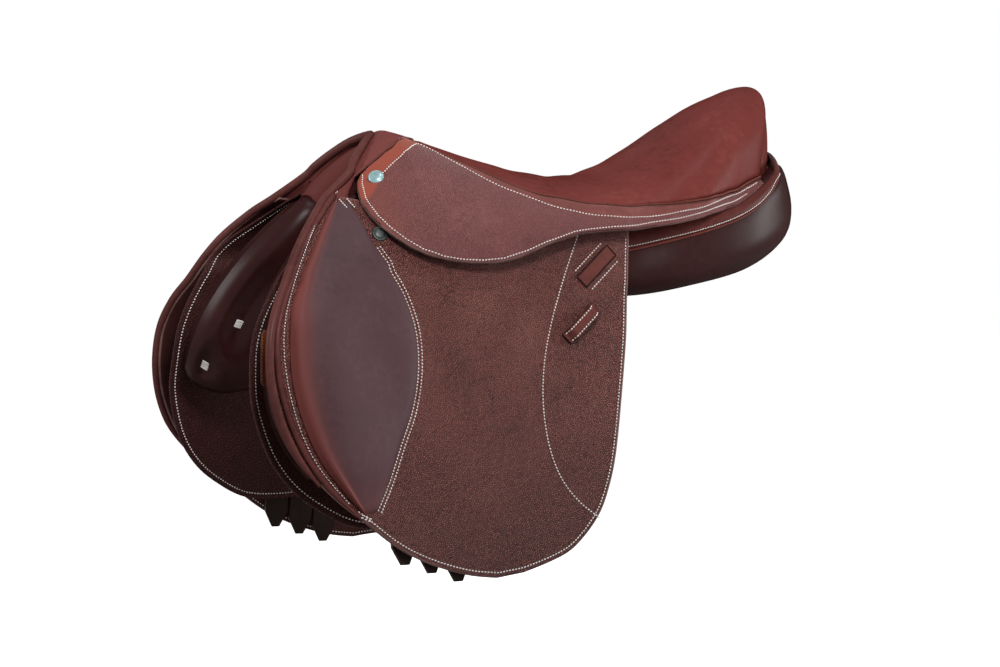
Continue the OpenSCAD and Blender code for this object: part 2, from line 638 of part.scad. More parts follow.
module near_front_roll_top() { color(flap_brown) front_roll_top_form(); }
module off_front_roll_top() { color(flap_brown) mirror([0, 1, 0]) front_roll_top_form(); }
module near_front_roll() { color(flap_brown) front_roll_form(); }
module off_front_roll() { color(flap_brown) mirror([0, 1, 0]) front_roll_form(); }

// Keepers for the loose end of the stirrup leather
module keeper_place(place) {
    flap_frame()
        translate([place[0] * flap_l, -gap, place[1] * flap_drop])
            rotate([0, -keeper_slant, 0])
                children();
}

module keeper_strip_form() {
    keeper_place(strip_place)
        translate([-keeper_l / 2, -keeper_t, -keeper_w / 2])
            cube([keeper_l, keeper_t, keeper_w]);
}

module keeper_loop_form() {
    high = keeper_gap + keeper_t;
    keeper_place(loop_place)
        translate([-keeper_l / 2, -high, -keeper_w / 2])
            difference() {
                cube([keeper_l, high, keeper_w]);
                translate([loop_foot, keeper_t, -keeper_w])
                    cube([keeper_l - 2 * loop_foot, high, 3 * keeper_w]);
            }
}

module near_keeper_strip() { color(flap_brown) keeper_strip_form(); }
module off_keeper_strip() { color(flap_brown) mirror([0, 1, 0]) keeper_strip_form(); }
module near_keeper_loop() { color(flap_brown) keeper_loop_form(); }
module off_keeper_loop() { color(flap_brown) mirror([0, 1, 0]) keeper_loop_form(); }

// Sweat flaps, blocks and panels
module sweat_flap_form() {
    rows = 22;
    cols = 10;
    plain = patch(sweat_front, sweat_back, rows, cols);
    edge = in_size(sweat_top, flap_size);
    grid = [for (i = [0 : rows]) [for (j = [0 : cols])
        plain[i][j] + (along(edge, j / cols) - plain[0][j]) * pow(1 - i / rows, 4)]];
    flap_frame()
        sheet(stand(grid, function (x, z) sweat_out(x, z)),
            stand(grid, function (x, z) sweat_out(x, z) - sweat_t));
}

module knee_block_form() {
    grid = patch(knee_front, knee_back, 12, 5);
    rows = len(grid) - 1;
    cols = len(grid[0]) - 1;
    function round(i, j) = ease(6 * i / rows) * ease(6 * (1 - i / rows)) * ease(3 * (1 - j / cols));
    outer = [for (i = [0 : rows]) [for (j = [0 : cols])
        let (p = grid[i][j], low = sweat_out(p[0], p[1]) + foam_gap, thin = low + block_skin,
            high = max(flap_out(p[0], p[1]) - flap_t - block_room, thin))
        [p[0], -mix(thin, high, mix(0.35, 1, round(i, j))), p[1]]]];
    flap_frame()
        sheet(outer, stand(grid, function (x, z) sweat_out(x, z) + foam_gap));
}

module thigh_block_form() {
    grid = patch(thigh_front, thigh_back, 8, 5);
    rows = len(grid) - 1;
    cols = len(grid[0]) - 1;
    function round(i, j) =
        ease(3 * i / rows) * ease(3 * (1 - i / rows)) * ease(3 * j / cols) * ease(4 * (1 - j / cols));
    outer = [for (i = [0 : rows]) [for (j = [0 : cols]) let (p = grid[i][j])
        [p[0], -sweat_out(p[0], p[1]) - gap - thigh_t * mix(0.3, 1, round(i, j)), p[1]]]];
    flap_frame()
        sheet(outer, stand(grid, function (x, z) sweat_out(x, z) + gap));
}

module near_sweat_flap() { color(lining_brown) sweat_flap_form(); }
module off_sweat_flap() { color(lining_brown) mirror([0, 1, 0]) sweat_flap_form(); }
module near_knee_block() { color(lining_brown) knee_block_form(); }
module off_knee_block() { color(lining_brown) mirror([0, 1, 0]) knee_block_form(); }
module near_thigh_block() { color(lining_brown) thigh_block_form(); }
module off_thigh_block() { color(lining_brown) mirror([0, 1, 0]) thigh_block_form(); }

function tuft(s, a) = tuft_depth * max(concat([0], [for (t = tufts)
    exp(-pow((s - t[0]) / tuft_reach, 2) - pow((a - t[1]) / tuft_turn, 2))]));
function panel_ring(s, count) =
    let (a = along(in_size(panel_top, panel_size), s), b = along(in_size(panel_foot, panel_size), s),
        swell = panel_half_t * along(panel_swell, s), line = b - a, down = unit(line),
        out = unit([0, 1, 0] - down[1] * down), middle = (a + b) / 2)
    [for (k = [0 : count - 1]) let (t = 360 * k / count,
            c = sign(cos(t)) * pow(abs(cos(t)), panel_box), d = sign(sin(t)) * pow(abs(sin(t)), panel_box),
            bow = panel_bow * seat_l * (1 - c * c) * (1 - ease(s / panel_bow_end)),
            p = middle + norm(line) / 2 * c * down + (swell - tuft(s, t)) * d * out - [bow, 0, 0])
        [p[0], -p[1], p[2]]];

module panel_form() {
    loft([for (s = concat([0.001], steps(0.03, 0.97, 28), [0.999])) panel_ring(s, 24)]);
}

module panel_facing_form() {
    columns = steps(0.105, 0.54, 14);
    function at(s, t, depth) = raked(s, look(foot_turn, s) + 0.03 * min(t, 0), skirt_t + foam_gap + depth)
        - [0, 0, facing_w * max(t, 0)];
    rows = [-1, 0, 0.5, 1];
    sheet([for (t = rows) [for (s = columns) at(s, t, 0)]],
        [for (t = rows) [for (s = columns) at(s, t, lining_t)]]);
}

module near_panel() { color(panel_brown) panel_form(); }
module off_panel() { color(panel_brown) mirror([0, 1, 0]) panel_form(); }
module near_panel_facing() { color(panel_brown) panel_facing_form(); }
module off_panel_facing() { color(panel_brown) mirror([0, 1, 0]) panel_facing_form(); }

// Girth webs and billets
module girth_web_form() {
    rows = steps(web_high * flap_drop, web_low * flap_drop, 6);
    cols = steps(web_front * flap_l, web_back * flap_l, 4);
    function out(z) = -top_fall(z) - flap_t
        - mix(billet_room / 2 - billet_t / 2 - web_gap - web_t, gap, ease((z / flap_drop - 0.025) / 0.06));
    flap_frame()
        sheet([for (z = rows) [for (x = cols) [x, -out(z), z]]],
            [for (z = rows) [for (x = cols) [x, -out(z) + web_t, z]]]);
}

module billet_form(index) {
    long = billet_l + index * billet_step;
    half = billet_w / 2;
    flap_frame()
        translate([billet_x + index * billet_pitch, flap_t + billet_room / 2 - billet_t / 2, billet_z])
            rotate([0, billet_lean, 0])
                rotate([-90, 0, 0])
                    difference() {
                        linear_extrude(billet_t)
                            polygon([[-half, -billet_top], [half, -billet_top], [half, long - billet_tip],
                                [half / 3, long], [-half / 3, long], [-half, long - billet_tip]]);
                        for (k = [0 : hole_count - 1])
                            translate([0, long - hole_first - k * hole_pitch, -billet_t])
                                cylinder(r = hole_r, h = 3 * billet_t, $fn = round_fn);
                    }
}

module near_girth_web() { color(web_white) girth_web_form(); }
module off_girth_web() { color(web_white) mirror([0, 1, 0]) girth_web_form(); }
module near_billet_1() { color(billet_black) billet_form(0); }
module near_billet_2() { color(billet_black) billet_form(1); }
module near_billet_3() { color(billet_black) billet_form(2); }
module off_billet_1() { color(billet_black) mirror([0, 1, 0]) billet_form(0); }
module off_billet_2() { color(billet_black) mirror([0, 1, 0]) billet_form(1); }
module off_billet_3() { color(billet_black) mirror([0, 1, 0]) billet_form(2); }

// Stirrup bars with a safety catch that hinges on a pin in the bar's forked end
bar_plate_y = dome(-0.22, 0.563, tree_depth)[1] - gap;
bar_y = bar_plate_y - plate_t - bar_gap - bar_r;
catch_x = bar_x + bar_l - bar_round - catch_r;

module stirrup_bar_form() {
    reach = bar_plate_y - bar_y;
    slot = catch_t + 2 * gap;
    knuckle_l = bar_round + bar_r;
    long = bar_l - bar_round;
    translate([bar_x, bar_plate_y - plate_t, bar_h - bar_r])
        cube([bar_l, plate_t, plate_h]);
    translate([bar_x + bar_round, bar_y, bar_h])
        rotate([-90, 0, 0])
            cylinder(r = bar_r, h = reach - plate_t / 2, $fn = round_fn);
    difference() {
        translate([bar_x, bar_y, bar_h])
            rotate([0, 90, 0]) {
                cylinder(r = bar_round, h = knuckle_l, $fn = round_fn);
                cylinder(r = bar_r - neck_cut, h = long, $fn = round_fn);
                translate([0, 0, knuckle_l + neck_l])
                    cylinder(r = bar_r, h = long - knuckle_l - neck_l, $fn = round_fn);
            }
        translate([catch_x - catch_r - gap, bar_y - slot / 2, bar_h - bar_l / 2])
            cube([bar_l, slot, bar_l]);
    }
    translate([catch_x, bar_y - slot / 2 - gap, bar_h])
        rotate([-90, 0, 0])
            cylinder(r = catch_pin_r, h = slot + 2 * gap, $fn = round_fn);
}

module bar_catch_form() {
    translate([catch_x, bar_y - catch_t / 2, bar_h])
        rotate([-90, 0, 0])
            difference() {
                union() {
                    cylinder(r = catch_r, h = catch_t, $fn = round_fn);
                    translate([0, -catch_tip_r, 0])
                        cube([catch_l, 2 * catch_tip_r, catch_t]);
                    translate([catch_l, 0, 0])
                        cylinder(r = catch_tip_r, h = catch_t, $fn = round_fn);
                }
                translate([0, 0, -catch_t])
                    cylinder(r = catch_pin_r + catch_play, h = 3 * catch_t, $fn = round_fn);
            }
}

module near_stirrup_bar() { color(steel_grey) stirrup_bar_form(); }
module off_stirrup_bar() { color(steel_grey) mirror([0, 1, 0]) stirrup_bar_form(); }
module near_bar_catch() { color(steel_grey) bar_catch_form(); }
module off_bar_catch() { color(steel_grey) mirror([0, 1, 0]) bar_catch_form(); }

tree();
head_plate();
seat_webs();
seat_foam();
seat();
pommel_cap();
pommel_binding();
cantle_back();
gullet_lining();
near_skirt_band();
off_skirt_band();
near_skirt_lobe();
off_skirt_lobe();
near_skirt_stud();
off_skirt_stud();
near_flap_stud();
off_flap_stud();
near_flap_top();
off_flap_top();
near_flap();
off_flap();
near_knee_pad_top();
off_knee_pad_top();
near_knee_pad();
off_knee_pad();
near_front_roll_top();
off_front_roll_top();
near_front_roll();
off_front_roll();
near_keeper_strip();
off_keeper_strip();
near_keeper_loop();
off_keeper_loop();
near_sweat_flap();
off_sweat_flap();
near_knee_block();
off_knee_block();
near_thigh_block();
off_thigh_block();
near_panel();
off_panel();
near_panel_facing();
off_panel_facing();
near_girth_web();
off_girth_web();
near_billet_1();
near_billet_2();
near_billet_3();
off_billet_1();
off_billet_2();
off_billet_3();
near_stirrup_bar();
off_stirrup_bar();
near_bar_catch();
off_bar_catch();
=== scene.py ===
import math

import bmesh
import bpy
import numpy as np
from mathutils import Matrix, Vector
from mathutils.bvhtree import BVHTree


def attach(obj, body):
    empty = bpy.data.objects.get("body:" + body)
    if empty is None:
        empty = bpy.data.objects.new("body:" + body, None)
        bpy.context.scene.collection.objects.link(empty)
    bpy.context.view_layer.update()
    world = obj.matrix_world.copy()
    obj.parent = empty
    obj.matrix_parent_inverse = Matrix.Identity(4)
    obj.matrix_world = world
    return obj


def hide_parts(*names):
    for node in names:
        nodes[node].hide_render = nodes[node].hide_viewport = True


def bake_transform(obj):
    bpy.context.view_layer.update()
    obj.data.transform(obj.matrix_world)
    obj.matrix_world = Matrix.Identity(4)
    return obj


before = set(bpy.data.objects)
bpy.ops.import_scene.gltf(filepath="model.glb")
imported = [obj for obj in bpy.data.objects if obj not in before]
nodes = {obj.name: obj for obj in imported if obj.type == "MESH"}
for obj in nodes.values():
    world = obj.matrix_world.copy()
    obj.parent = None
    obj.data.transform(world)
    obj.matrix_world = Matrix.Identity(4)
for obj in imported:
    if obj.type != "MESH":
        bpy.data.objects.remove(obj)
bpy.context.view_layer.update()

scene = bpy.context.scene
scene.view_settings.view_transform = "Standard"
sides = {"near": 1, "off": -1}  # the off side is the near side with y turned over
print("frame loaded with", len(nodes), "nodes")


# curves and tables, the same as in the part's source but in metres
def eased(t):
    c = np.clip(t, 0, 1)
    return c * c * (3 - 2 * c)


def mixed(a, b, t):
    return a + (b - a) * t


def bell(x, middle, width):
    return np.exp(-((x - middle) / width) ** 2)


def unit(v):
    return v / np.maximum(np.linalg.norm(v, axis=-1, keepdims=True), 1e-12)


def lookUp(table, x):
    spots = np.asarray(table, float)
    places, values = spots[:, 0], spots[:, 1]
    last = len(places) - 1
    spot = np.arange(last + 1)
    before, after = np.maximum(spot - 1, 0), np.minimum(spot + 1, last)
    slope = (values[after] - values[before]) / (places[after] - places[before])
    i = np.clip(np.searchsorted(places, x, side="right") - 1, 0, last - 1)
    run = places[i + 1] - places[i]
    t = np.clip((x - places[i]) / run, 0, 1)
    start = values[i] + slope[i] * run * t
    finish = values[i + 1] - slope[i + 1] * run * (1 - t)
    return mixed(start, finish, eased(t))


def alongPoints(points, t):
    p = np.asarray(points, float)
    last = len(p) - 1
    f = np.clip(np.asarray(t, float), 0, 1) * last
    i = np.minimum(f.astype(int), last - 1)
    u = (f - i)[..., None]
    a, b, c, d = p[np.maximum(i - 1, 0)], p[i], p[i + 1], p[np.minimum(i + 2, last)]
    squared, cubed = 2 * a - 5 * b + 4 * c - d, 3 * b - a - 3 * c + d
    return 0.5 * (2 * b + (c - a) * u + squared * u ** 2 + cubed * u ** 3)


# the dome that the seat, the pommel and the skirts lie on
dome = dict(length=0.4, cantleH=0.2, halfW=0.146, footH=0.02, rimR=0.013, rake=0.032, dish=0.004)
ridgeShares = [(-0.62, 0.44), (-0.55, 0.575), (-0.48, 0.69), (-0.43, 0.74), (-0.4125, 0.75),
               (-0.3, 0.68), (-0.1625, 0.6), (-0.0575, 0.56), (0.05, 0.555), (0.155, 0.607),
               (0.265, 0.718), (0.3725, 0.857), (0.485, 0.973), (0.5675, 1.01), (0.62, 1.015)]
widthShares = [(-0.62, 1), (-0.55, 1.02), (-0.48, 1.01), (-0.4, 1), (-0.2, 1), (0, 0.995),
               (0.15, 0.94), (0.305, 0.815), (0.4, 0.715), (0.5, 0.585), (0.58, 0.47), (0.62, 0.4)]
fullness = [(-0.62, 1.5), (-0.43, 1.4), (-0.3, 1.15), (-0.15, 1), (0, 0.9), (0.15, 0.78),
            (0.3, 0.6), (0.5, 0.48), (0.62, 0.46)]
dishShares = [(-0.3, 0), (-0.1, 0.1), (0.2, 1), (0.4, 1), (0.55, 0.6), (0.62, 0.4)]
seamTurn = [(-0.385, 0.14), (-0.35, 0.2), (-0.319, 0.245), (-0.236, 0.345), (-0.154, 0.447),
            (-0.062, 0.503), (0.033, 0.56), (0.131, 0.638), (0.194, 0.698), (0.266, 0.772),
            (0.301, 0.802), (0.361, 0.843), (0.435, 0.873), (0.508, 0.878), (0.58, 0.863)]
footTurn = [(-0.5525, 0.46), (-0.549, 0.52), (-0.54, 0.6), (-0.52, 0.69), (-0.4875, 0.78),
            (-0.45, 0.854), (-0.3975, 0.915), (-0.35, 0.948), (-0.3, 0.964), (-0.2438, 0.958),
            (-0.1811, 0.914), (-0.13, 0.86), (-0.06, 0.806), (-0.021, 0.786), (0.044, 0.784),
            (0.111, 0.8), (0.181, 0.825), (0.259, 0.867), (0.339, 0.899), (0.441, 0.925),
            (0.515, 0.92), (0.555, 0.905), (0.58, 0.885)]
capSeam = [(-0.345, 0), (-0.354, 0.07), (-0.385, 0.14), (-0.4264, 0.2246), (-0.4606, 0.2575),
           (-0.492, 0.274), (-0.5185, 0.287)]
skirtFront = [(-0.5525, 0.455), (-0.546, 0.36), (-0.535, 0.305)]  # its edge ahead of the cap
pommel = dict(front=-0.43, corner=-0.553, turn=0.35, bend=1.2, archAhead=0.015, archTurn=0.29,
              seatGap=0.004, seatEnd=0.58)


def domePoint(share, turn, depth=0.0):
    share, turn, depth = np.broadcast_arrays(*[np.asarray(v, float) for v in (share, turn, depth)])
    angle = turn * math.pi / 2
    wide = dome["halfW"] * lookUp(widthShares, share) - depth
    high = dome["cantleH"] * lookUp(ridgeShares, share) - depth - dome["footH"]
    dish = dome["dish"] * lookUp(dishShares, share) * np.maximum(1 - turn ** 2 / 0.3, 0) ** 2
    rise = high * np.maximum(np.cos(angle), 0) ** lookUp(fullness, share)
    height = dome["footH"] + rise - dish
    return np.stack([share * dome["length"], -wide * np.sin(angle), height], -1)


def rakedPoint(share, turn, depth=0.0):
    p = domePoint(share, turn, depth)
    turn, share = np.broadcast_to(turn, p.shape[:-1]), np.broadcast_to(share, p.shape[:-1])
    p[..., 0] -= dome["rake"] * turn ** 2 * eased((share - 0.2) / 0.38)
    return p


def rakedNormal(share, turn):
    d = 0.004
    alongShare = rakedPoint(share + d, turn) - rakedPoint(share - d, turn)
    alongTurn = rakedPoint(share, turn + d) - rakedPoint(share, turn - d)
    return unit(np.cross(alongTurn, alongShare))


def capFront(turn):
    outward = (np.abs(turn) / pommel["turn"]) ** pommel["bend"]
    return mixed(pommel["front"], pommel["corner"], outward)


def archFurther(turn):
    # how far ahead of the cap's front the rolled arch edge comes, as a share of the length
    return pommel["archAhead"] * eased(np.abs(turn) / pommel["archTurn"])


def capBack(turn):
    return lookUp([(seamSpot[1], seamSpot[0]) for seamSpot in capSeam], np.abs(turn))


def skirtTop(share):
    onCap = lookUp(skirtFront + capSeam[:1:-1], share)
    return np.where(share < seamTurn[0][0], onCap, lookUp(seamTurn, share))


def seatShare(t, across):
    return mixed(capBack(across * seamTurn[0][1]) + pommel["seatGap"], pommel["seatEnd"], t)


def seatPoint(t, across, inset, depth):
    share = seatShare(t, across)
    turn = across * (lookUp(seamTurn, share) - inset)
    bend = np.clip(1 - (pommel["seatEnd"] - share) * dome["length"] / dome["rimR"], 0, 1)
    drop = dome["rimR"] * (1 - np.sqrt(1 - bend ** 2))
    return rakedPoint(share, turn, depth + drop)


# the flap's own frame: x back along the hinge line, z up the flap, out away from the horse
flap = dict(length=0.4, drop=0.294, thick=0.005, topBend=0.15, hinge=(-0.12, -0.132, 0.03),
            yaw=4.7, pitch=6.3, tilt=13.6)
kneeBulge = dict(high=0.018, backAt=-0.27, run=0.21, top=0.018, fall=0.22, lowShare=0.6, lowAt=0.35,
                 lowRun=0.4)
sweatRoom = dict(billets=0.014, top=0.002, topAt=0.025, topRun=0.06, knee=0.019, kneeAt=0.25,
                 kneeRun=0.3, kneeTop=0.14, kneeFall=0.37)
turned = (Matrix.Rotation(math.radians(flap["yaw"]), 3, "Z")
          @ Matrix.Rotation(math.radians(-flap["pitch"]), 3, "Y")
          @ Matrix.Rotation(math.radians(-flap["tilt"]), 3, "X"))
flapX, flapN, flapZ = (np.array(turned.col[0]), -np.array(turned.col[1]), np.array(turned.col[2]))
flapHinge = np.array(flap["hinge"])


def topFall(z):
    return np.where(z > 0, z * z / flap["topBend"], 0)


def flapOut(x, z):
    k = kneeBulge
    forward = eased((k["backAt"] * flap["length"] - x) / (k["run"] * flap["length"]))
    below = eased((k["top"] - z) / (k["fall"] * flap["drop"]))
    lower = eased((-z / flap["drop"] - k["lowAt"]) / k["lowRun"])
    return k["high"] * forward * below * mixed(1, k["lowShare"], lower) - topFall(z)


def sweatOut(x, z):
    r = sweatRoom
    high = z / flap["drop"]
    room = mixed(r["billets"], r["top"], eased((high - r["topAt"]) / r["topRun"]))
    forward = eased((-x / flap["length"] - r["kneeAt"]) / r["kneeRun"])
    knee = r["knee"] * forward * eased((r["kneeTop"] - high) / r["kneeFall"])
    return -topFall(z) - flap["thick"] - room - knee


def flapWorld(x, z, out):
    x, z, out = np.broadcast_arrays(*[np.asarray(v, float) for v in (x, z, out)])
    return flapHinge + x[..., None] * flapX + out[..., None] * flapN + z[..., None] * flapZ


def flapNormal(x, z, outAt):
    d = 0.0015
    slopeX = (outAt(x + d, z) - outAt(x - d, z)) / (2 * d)
    slopeZ = (outAt(x, z + d) - outAt(x, z - d)) / (2 * d)
    return unit(flapN - slopeX[..., None] * flapX - slopeZ[..., None] * flapZ)


def inFlap(points, high=flap["drop"]):
    return np.asarray(points, float) * (flap["length"], high)


def patchGrid(front, back, rows, cols, high=flap["drop"]):
    t, s = np.linspace(0, 1, rows + 1), np.linspace(0, 1, cols + 1)
    a, b = alongPoints(inFlap(front, high), t), alongPoints(inFlap(back, high), t)
    return a[:, None] + (b - a)[:, None] * s[None, :, None]


# meshes
def sided(points, side):
    return np.asarray(points, float).reshape(-1, 3) * (1, sides[side], 1)


def loopQuads(index):
    # the faces between closed loops of points, one loop to a row
    onward = np.roll(index, -1, axis=1)
    return np.stack([index[:-1], onward[:-1], onward[1:], index[1:]], -1).reshape(-1, 4)


def makePiece(name, points, faces, materials, faceMaterials=None):
    mesh = bpy.data.meshes.new(name)
    mesh.from_pydata([tuple(p) for p in np.asarray(points).reshape(-1, 3)], [], faces)
    if faceMaterials is not None:
        mesh.polygons.foreach_set("material_index", np.asarray(faceMaterials, np.int32))
    work = bmesh.new()
    work.from_mesh(mesh)
    bmesh.ops.recalc_face_normals(work, faces=work.faces)
    work.to_mesh(mesh)
    work.free()
    mesh.polygons.foreach_set("use_smooth", np.ones(len(mesh.polygons), bool))
    for material in materials:
        mesh.materials.append(material)
    piece = bpy.data.objects.new(name, mesh)
    scene.collection.objects.link(piece)
    return piece


def leatherSheet(name, outer, inner, materials, side="near", roundness=0.85, ringCount=3):
    # a closed sheet with a rounded, painted edge that keeps the outline of the grids
    n, m = outer.shape[:2]
    low = n * m
    index = np.arange(low).reshape(n, m)
    rim = np.concatenate([index[0, :-1], index[:-1, -1], index[-1, :0:-1], index[:0:-1, 0]])
    row, col = rim // m, rim % m
    within = index[np.clip(row, 1, n - 2), np.clip(col, 1, m - 2)]
    outerFlat, innerFlat = outer.reshape(-1, 3).copy(), inner.reshape(-1, 3).copy()
    across = outerFlat[rim] - innerFlat[rim]
    thick = np.linalg.norm(across, axis=1, keepdims=True)
    outward = outerFlat[rim] - outerFlat[within]
    slanted = (outward * across).sum(1, keepdims=True) / np.maximum(thick, 1e-9) ** 2
    outward = unit(outward - slanted * across)
    reach = roundness * thick / 2
    outerFlat[rim] -= outward * reach
    innerFlat[rim] -= outward * reach
    points, start = [outerFlat, innerFlat], 2 * low
    loops = [rim]
    for k in range(1, ringCount + 1):
        angle = math.pi * k / (ringCount + 1)
        middle = (outerFlat[rim] + innerFlat[rim]) / 2
        points.append(middle + math.cos(angle) * across / 2 + math.sin(angle) * outward * reach)
        loops.append(np.arange(start, start + len(rim)))
        start += len(rim)
    loops.append(rim + low)
    quads = np.stack([index[:-1, :-1], index[:-1, 1:], index[1:, 1:], index[1:, :-1]], -1)
    quads, walls = quads.reshape(-1, 4), loopQuads(np.stack(loops))
    faces = np.concatenate([quads, quads[:, ::-1] + low, walls]).tolist()
    kinds = np.repeat((0, 1, 2), (len(quads), len(quads), len(walls)))  # outer face, back, edge
    kinds = np.minimum(kinds, len(materials) - 1)
    return makePiece(name, sided(np.concatenate(points), side), faces, materials, kinds)


def loftPiece(name, rings, materials, side="near"):
    # closed rings of points joined one after the other, with both ends shut
    n, m = rings.shape[:2]
    points = [rings.reshape(-1, 3)]
    index = np.arange(n * m).reshape(n, m)
    faces = loopQuads(index).tolist()
    points += [rings[:1].mean(1), rings[-1:].mean(1)]
    for loop, middle in ((index[0], n * m), (index[-1, ::-1], n * m + 1)):
        faces += [(int(a), int(b), middle) for a, b in zip(loop, np.roll(loop, -1))]
    return makePiece(name, sided(np.concatenate(points), side), faces, materials)


def ringsAlong(path, profile, upHint):
    # profile points are (across, up) pairs, carried along the path with the hint as up
    tangent = unit(np.gradient(path, axis=0))
    up = unit(upHint - (upHint * tangent).sum(1, keepdims=True) * tangent)
    across = np.cross(tangent, up)
    aside, above = profile[None, :, :1], profile[None, :, 1:]
    return path[:, None] + aside * across[:, None] + above * up[:, None]


def roundProfile(radius, count=12):
    a = np.linspace(0, 2 * math.pi, count, endpoint=False)
    return radius * np.stack([np.cos(a), np.sin(a)], -1)


def cordTube(name, path, radius, material, side="near", up=None):
    hint = np.broadcast_to(np.array((0.0, 0.3, 1.0)) if up is None else up, path.shape)
    return loftPiece(name, ringsAlong(path, roundProfile(radius), hint), [material], side)


def runAlong(points):
    return np.concatenate([[0], np.cumsum(np.linalg.norm(np.diff(points, axis=0), axis=1))])


def readOff(spots, run, values):
    return np.stack([np.interp(spots, run, column) for column in values.T], -1)


# thread: each stitch is one grain, half sunk in the leather; its rings are (place, size, sink)
thread = dict(pitch=0.0031, fill=0.66, radius=0.0006, slant=9, corners=6,
              rings=[(-1, 0.35, -0.5), (-0.62, 0.95, 0.15), (0.62, 0.95, 0.15), (1, 0.35, -0.5)])


def stitchGrains(path, normal, pitch=None, fill=None, radius=None, slant=None):
    pitch, fill = pitch or thread["pitch"], fill or thread["fill"]
    radius = radius or thread["radius"]
    slant = math.radians(thread["slant"] if slant is None else slant)
    run = runAlong(path)
    count = max(int(run[-1] / pitch), 1)
    spots = (np.arange(count) + 0.5) * run[-1] / count
    centre, up = readOff(spots, run, path), unit(readOff(spots, run, normal))
    ahead = unit(readOff(spots, run, np.gradient(path, run, axis=0)))
    across = np.cross(up, ahead)
    ahead, across = (math.cos(slant) * ahead + math.sin(slant) * across,
                     math.cos(slant) * across - math.sin(slant) * ahead)
    half = run[-1] / count * fill / 2
    corners = []
    for place, size, sink in thread["rings"]:
        for aside, above in roundProfile(1, thread["corners"]):
            corners.append(centre + place * half * ahead + radius * size * aside * across
                           + radius * (size * above + sink) * up)
    each = len(corners)
    index = np.arange(each).reshape(-1, thread["corners"])
    grain = loopQuads(index).tolist() + [index[0, ::-1].tolist(), index[-1].tolist()]
    points = np.stack(corners, 1).reshape(-1, 3)
    return points, [tuple(each * i + v for v in face) for i in range(count) for face in grain]


def stitchPiece(name, rows, material, side="near"):
    points, faces, start = [], [], 0
    for rowPoints, rowFaces in rows:
        points.append(rowPoints)
        faces += [tuple(v + start for v in face) for face in rowFaces]
        start += len(rowPoints)
    return makePiece(name, sided(np.concatenate(points), side), faces, [material])


def evenly(points, step=0.003):
    # points at an even spacing along a line
    points = np.asarray(points, float)
    run = runAlong(points)
    return readOff(np.linspace(0, run[-1], max(int(run[-1] / step), 2)), run, points)


def insetLine(points, distance):
    # a line moved sideways in its own plane, to the left of its direction
    slope = unit(np.gradient(points, axis=0))
    return points + distance * np.stack([-slope[:, 1], slope[:, 0]], -1)


def tintBorder(piece, shares, rest=0.0):
    # how much border colour each point of the outer face takes (a dye on skirts and pads, a painted
    # shade on flaps), and one share for edge and back
    border = np.full(len(piece.data.vertices), float(rest))
    border[:shares.size] = np.clip(shares, 0, 1).ravel()
    piece.data.attributes.new("border", "FLOAT", "POINT").data.foreach_set("value", border)


# materials
def tone(red, green, blue):
    share = np.array((red, green, blue)) / 255
    linear = np.where(share <= 0.04045, share / 12.92, ((share + 0.055) / 1.055) ** 2.4)
    return (*[float(v) for v in linear], 1.0)


def feed(tree, socket, value):
    # an output is linked to the socket, a plain number or colour is set on it
    if isinstance(value, bpy.types.NodeSocket):
        tree.links.new(value, socket)
    else:
        socket.default_value = value


def setInputs(tree, node, values):
    for label, value in values.items():
        feed(tree, node.inputs[label], value)
    return node


def addNode(tree, kind, settings=None, **values):
    node = tree.nodes.new("ShaderNode" + kind)
    for key, value in (settings or {}).items():
        setattr(node, key, value)
    return setInputs(tree, node, values)


def addGroup(tree, group, **values):
    return addNode(tree, "Group", dict(node_tree=group), **values).outputs


def operationNode(tree, kind, operation, *values):
    node = addNode(tree, kind, dict(operation=operation))
    for socket, value in zip(node.inputs, values):
        feed(tree, socket, value)
    return node.outputs


def mathNode(tree, operation, first, second):
    return operationNode(tree, "Math", operation, first, second)[0]


def mixColour(tree, share, first, second):
    node = addNode(tree, "Mix", dict(data_type="RGBA"))
    for place, value in ((0, share), (6, first), (7, second)):  # the sockets for colours
        feed(tree, node.inputs[place], value)
    return node.outputs[2]


def rangeNode(tree, value, low, high, toLow=0.0, toHigh=1.0, smooth=True):
    kind = "SMOOTHSTEP" if smooth else "LINEAR"
    node = addNode(tree, "MapRange", dict(interpolation_type=kind), Value=value)
    setInputs(tree, node, {"From Min": low, "From Max": high, "To Min": toLow, "To Max": toHigh})
    return node.outputs["Result"]


def objectPlace(tree):
    return addNode(tree, "TexCoord").outputs["Object"]


def noise(tree, place, scale, detail, roughness=0.5):
    return addNode(tree, "TexNoise", Vector=place, Scale=scale, Detail=detail,
                   Roughness=roughness).outputs


def newGroup(name, inputs, outputs):
    # an input's kind follows from how many numbers its usual value has
    kinds = {1: "NodeSocketFloat", 3: "NodeSocketVector", 4: "NodeSocketColor"}
    group = bpy.data.node_groups.new(name, "ShaderNodeTree")
    for label, value in inputs.items():
        socket = group.interface.new_socket(name=label, in_out="INPUT",
                                            socket_type=kinds[np.size(value)])
        socket.default_value = value
    for label, size in outputs.items():
        group.interface.new_socket(name=label, in_out="OUTPUT", socket_type=kinds[size])
    return group, group.nodes.new("NodeGroupInput").outputs, group.nodes.new("NodeGroupOutput")


brown, darkBrown, lightBrown = tone(106, 58, 54), tone(64, 32, 29), tone(132, 80, 75)


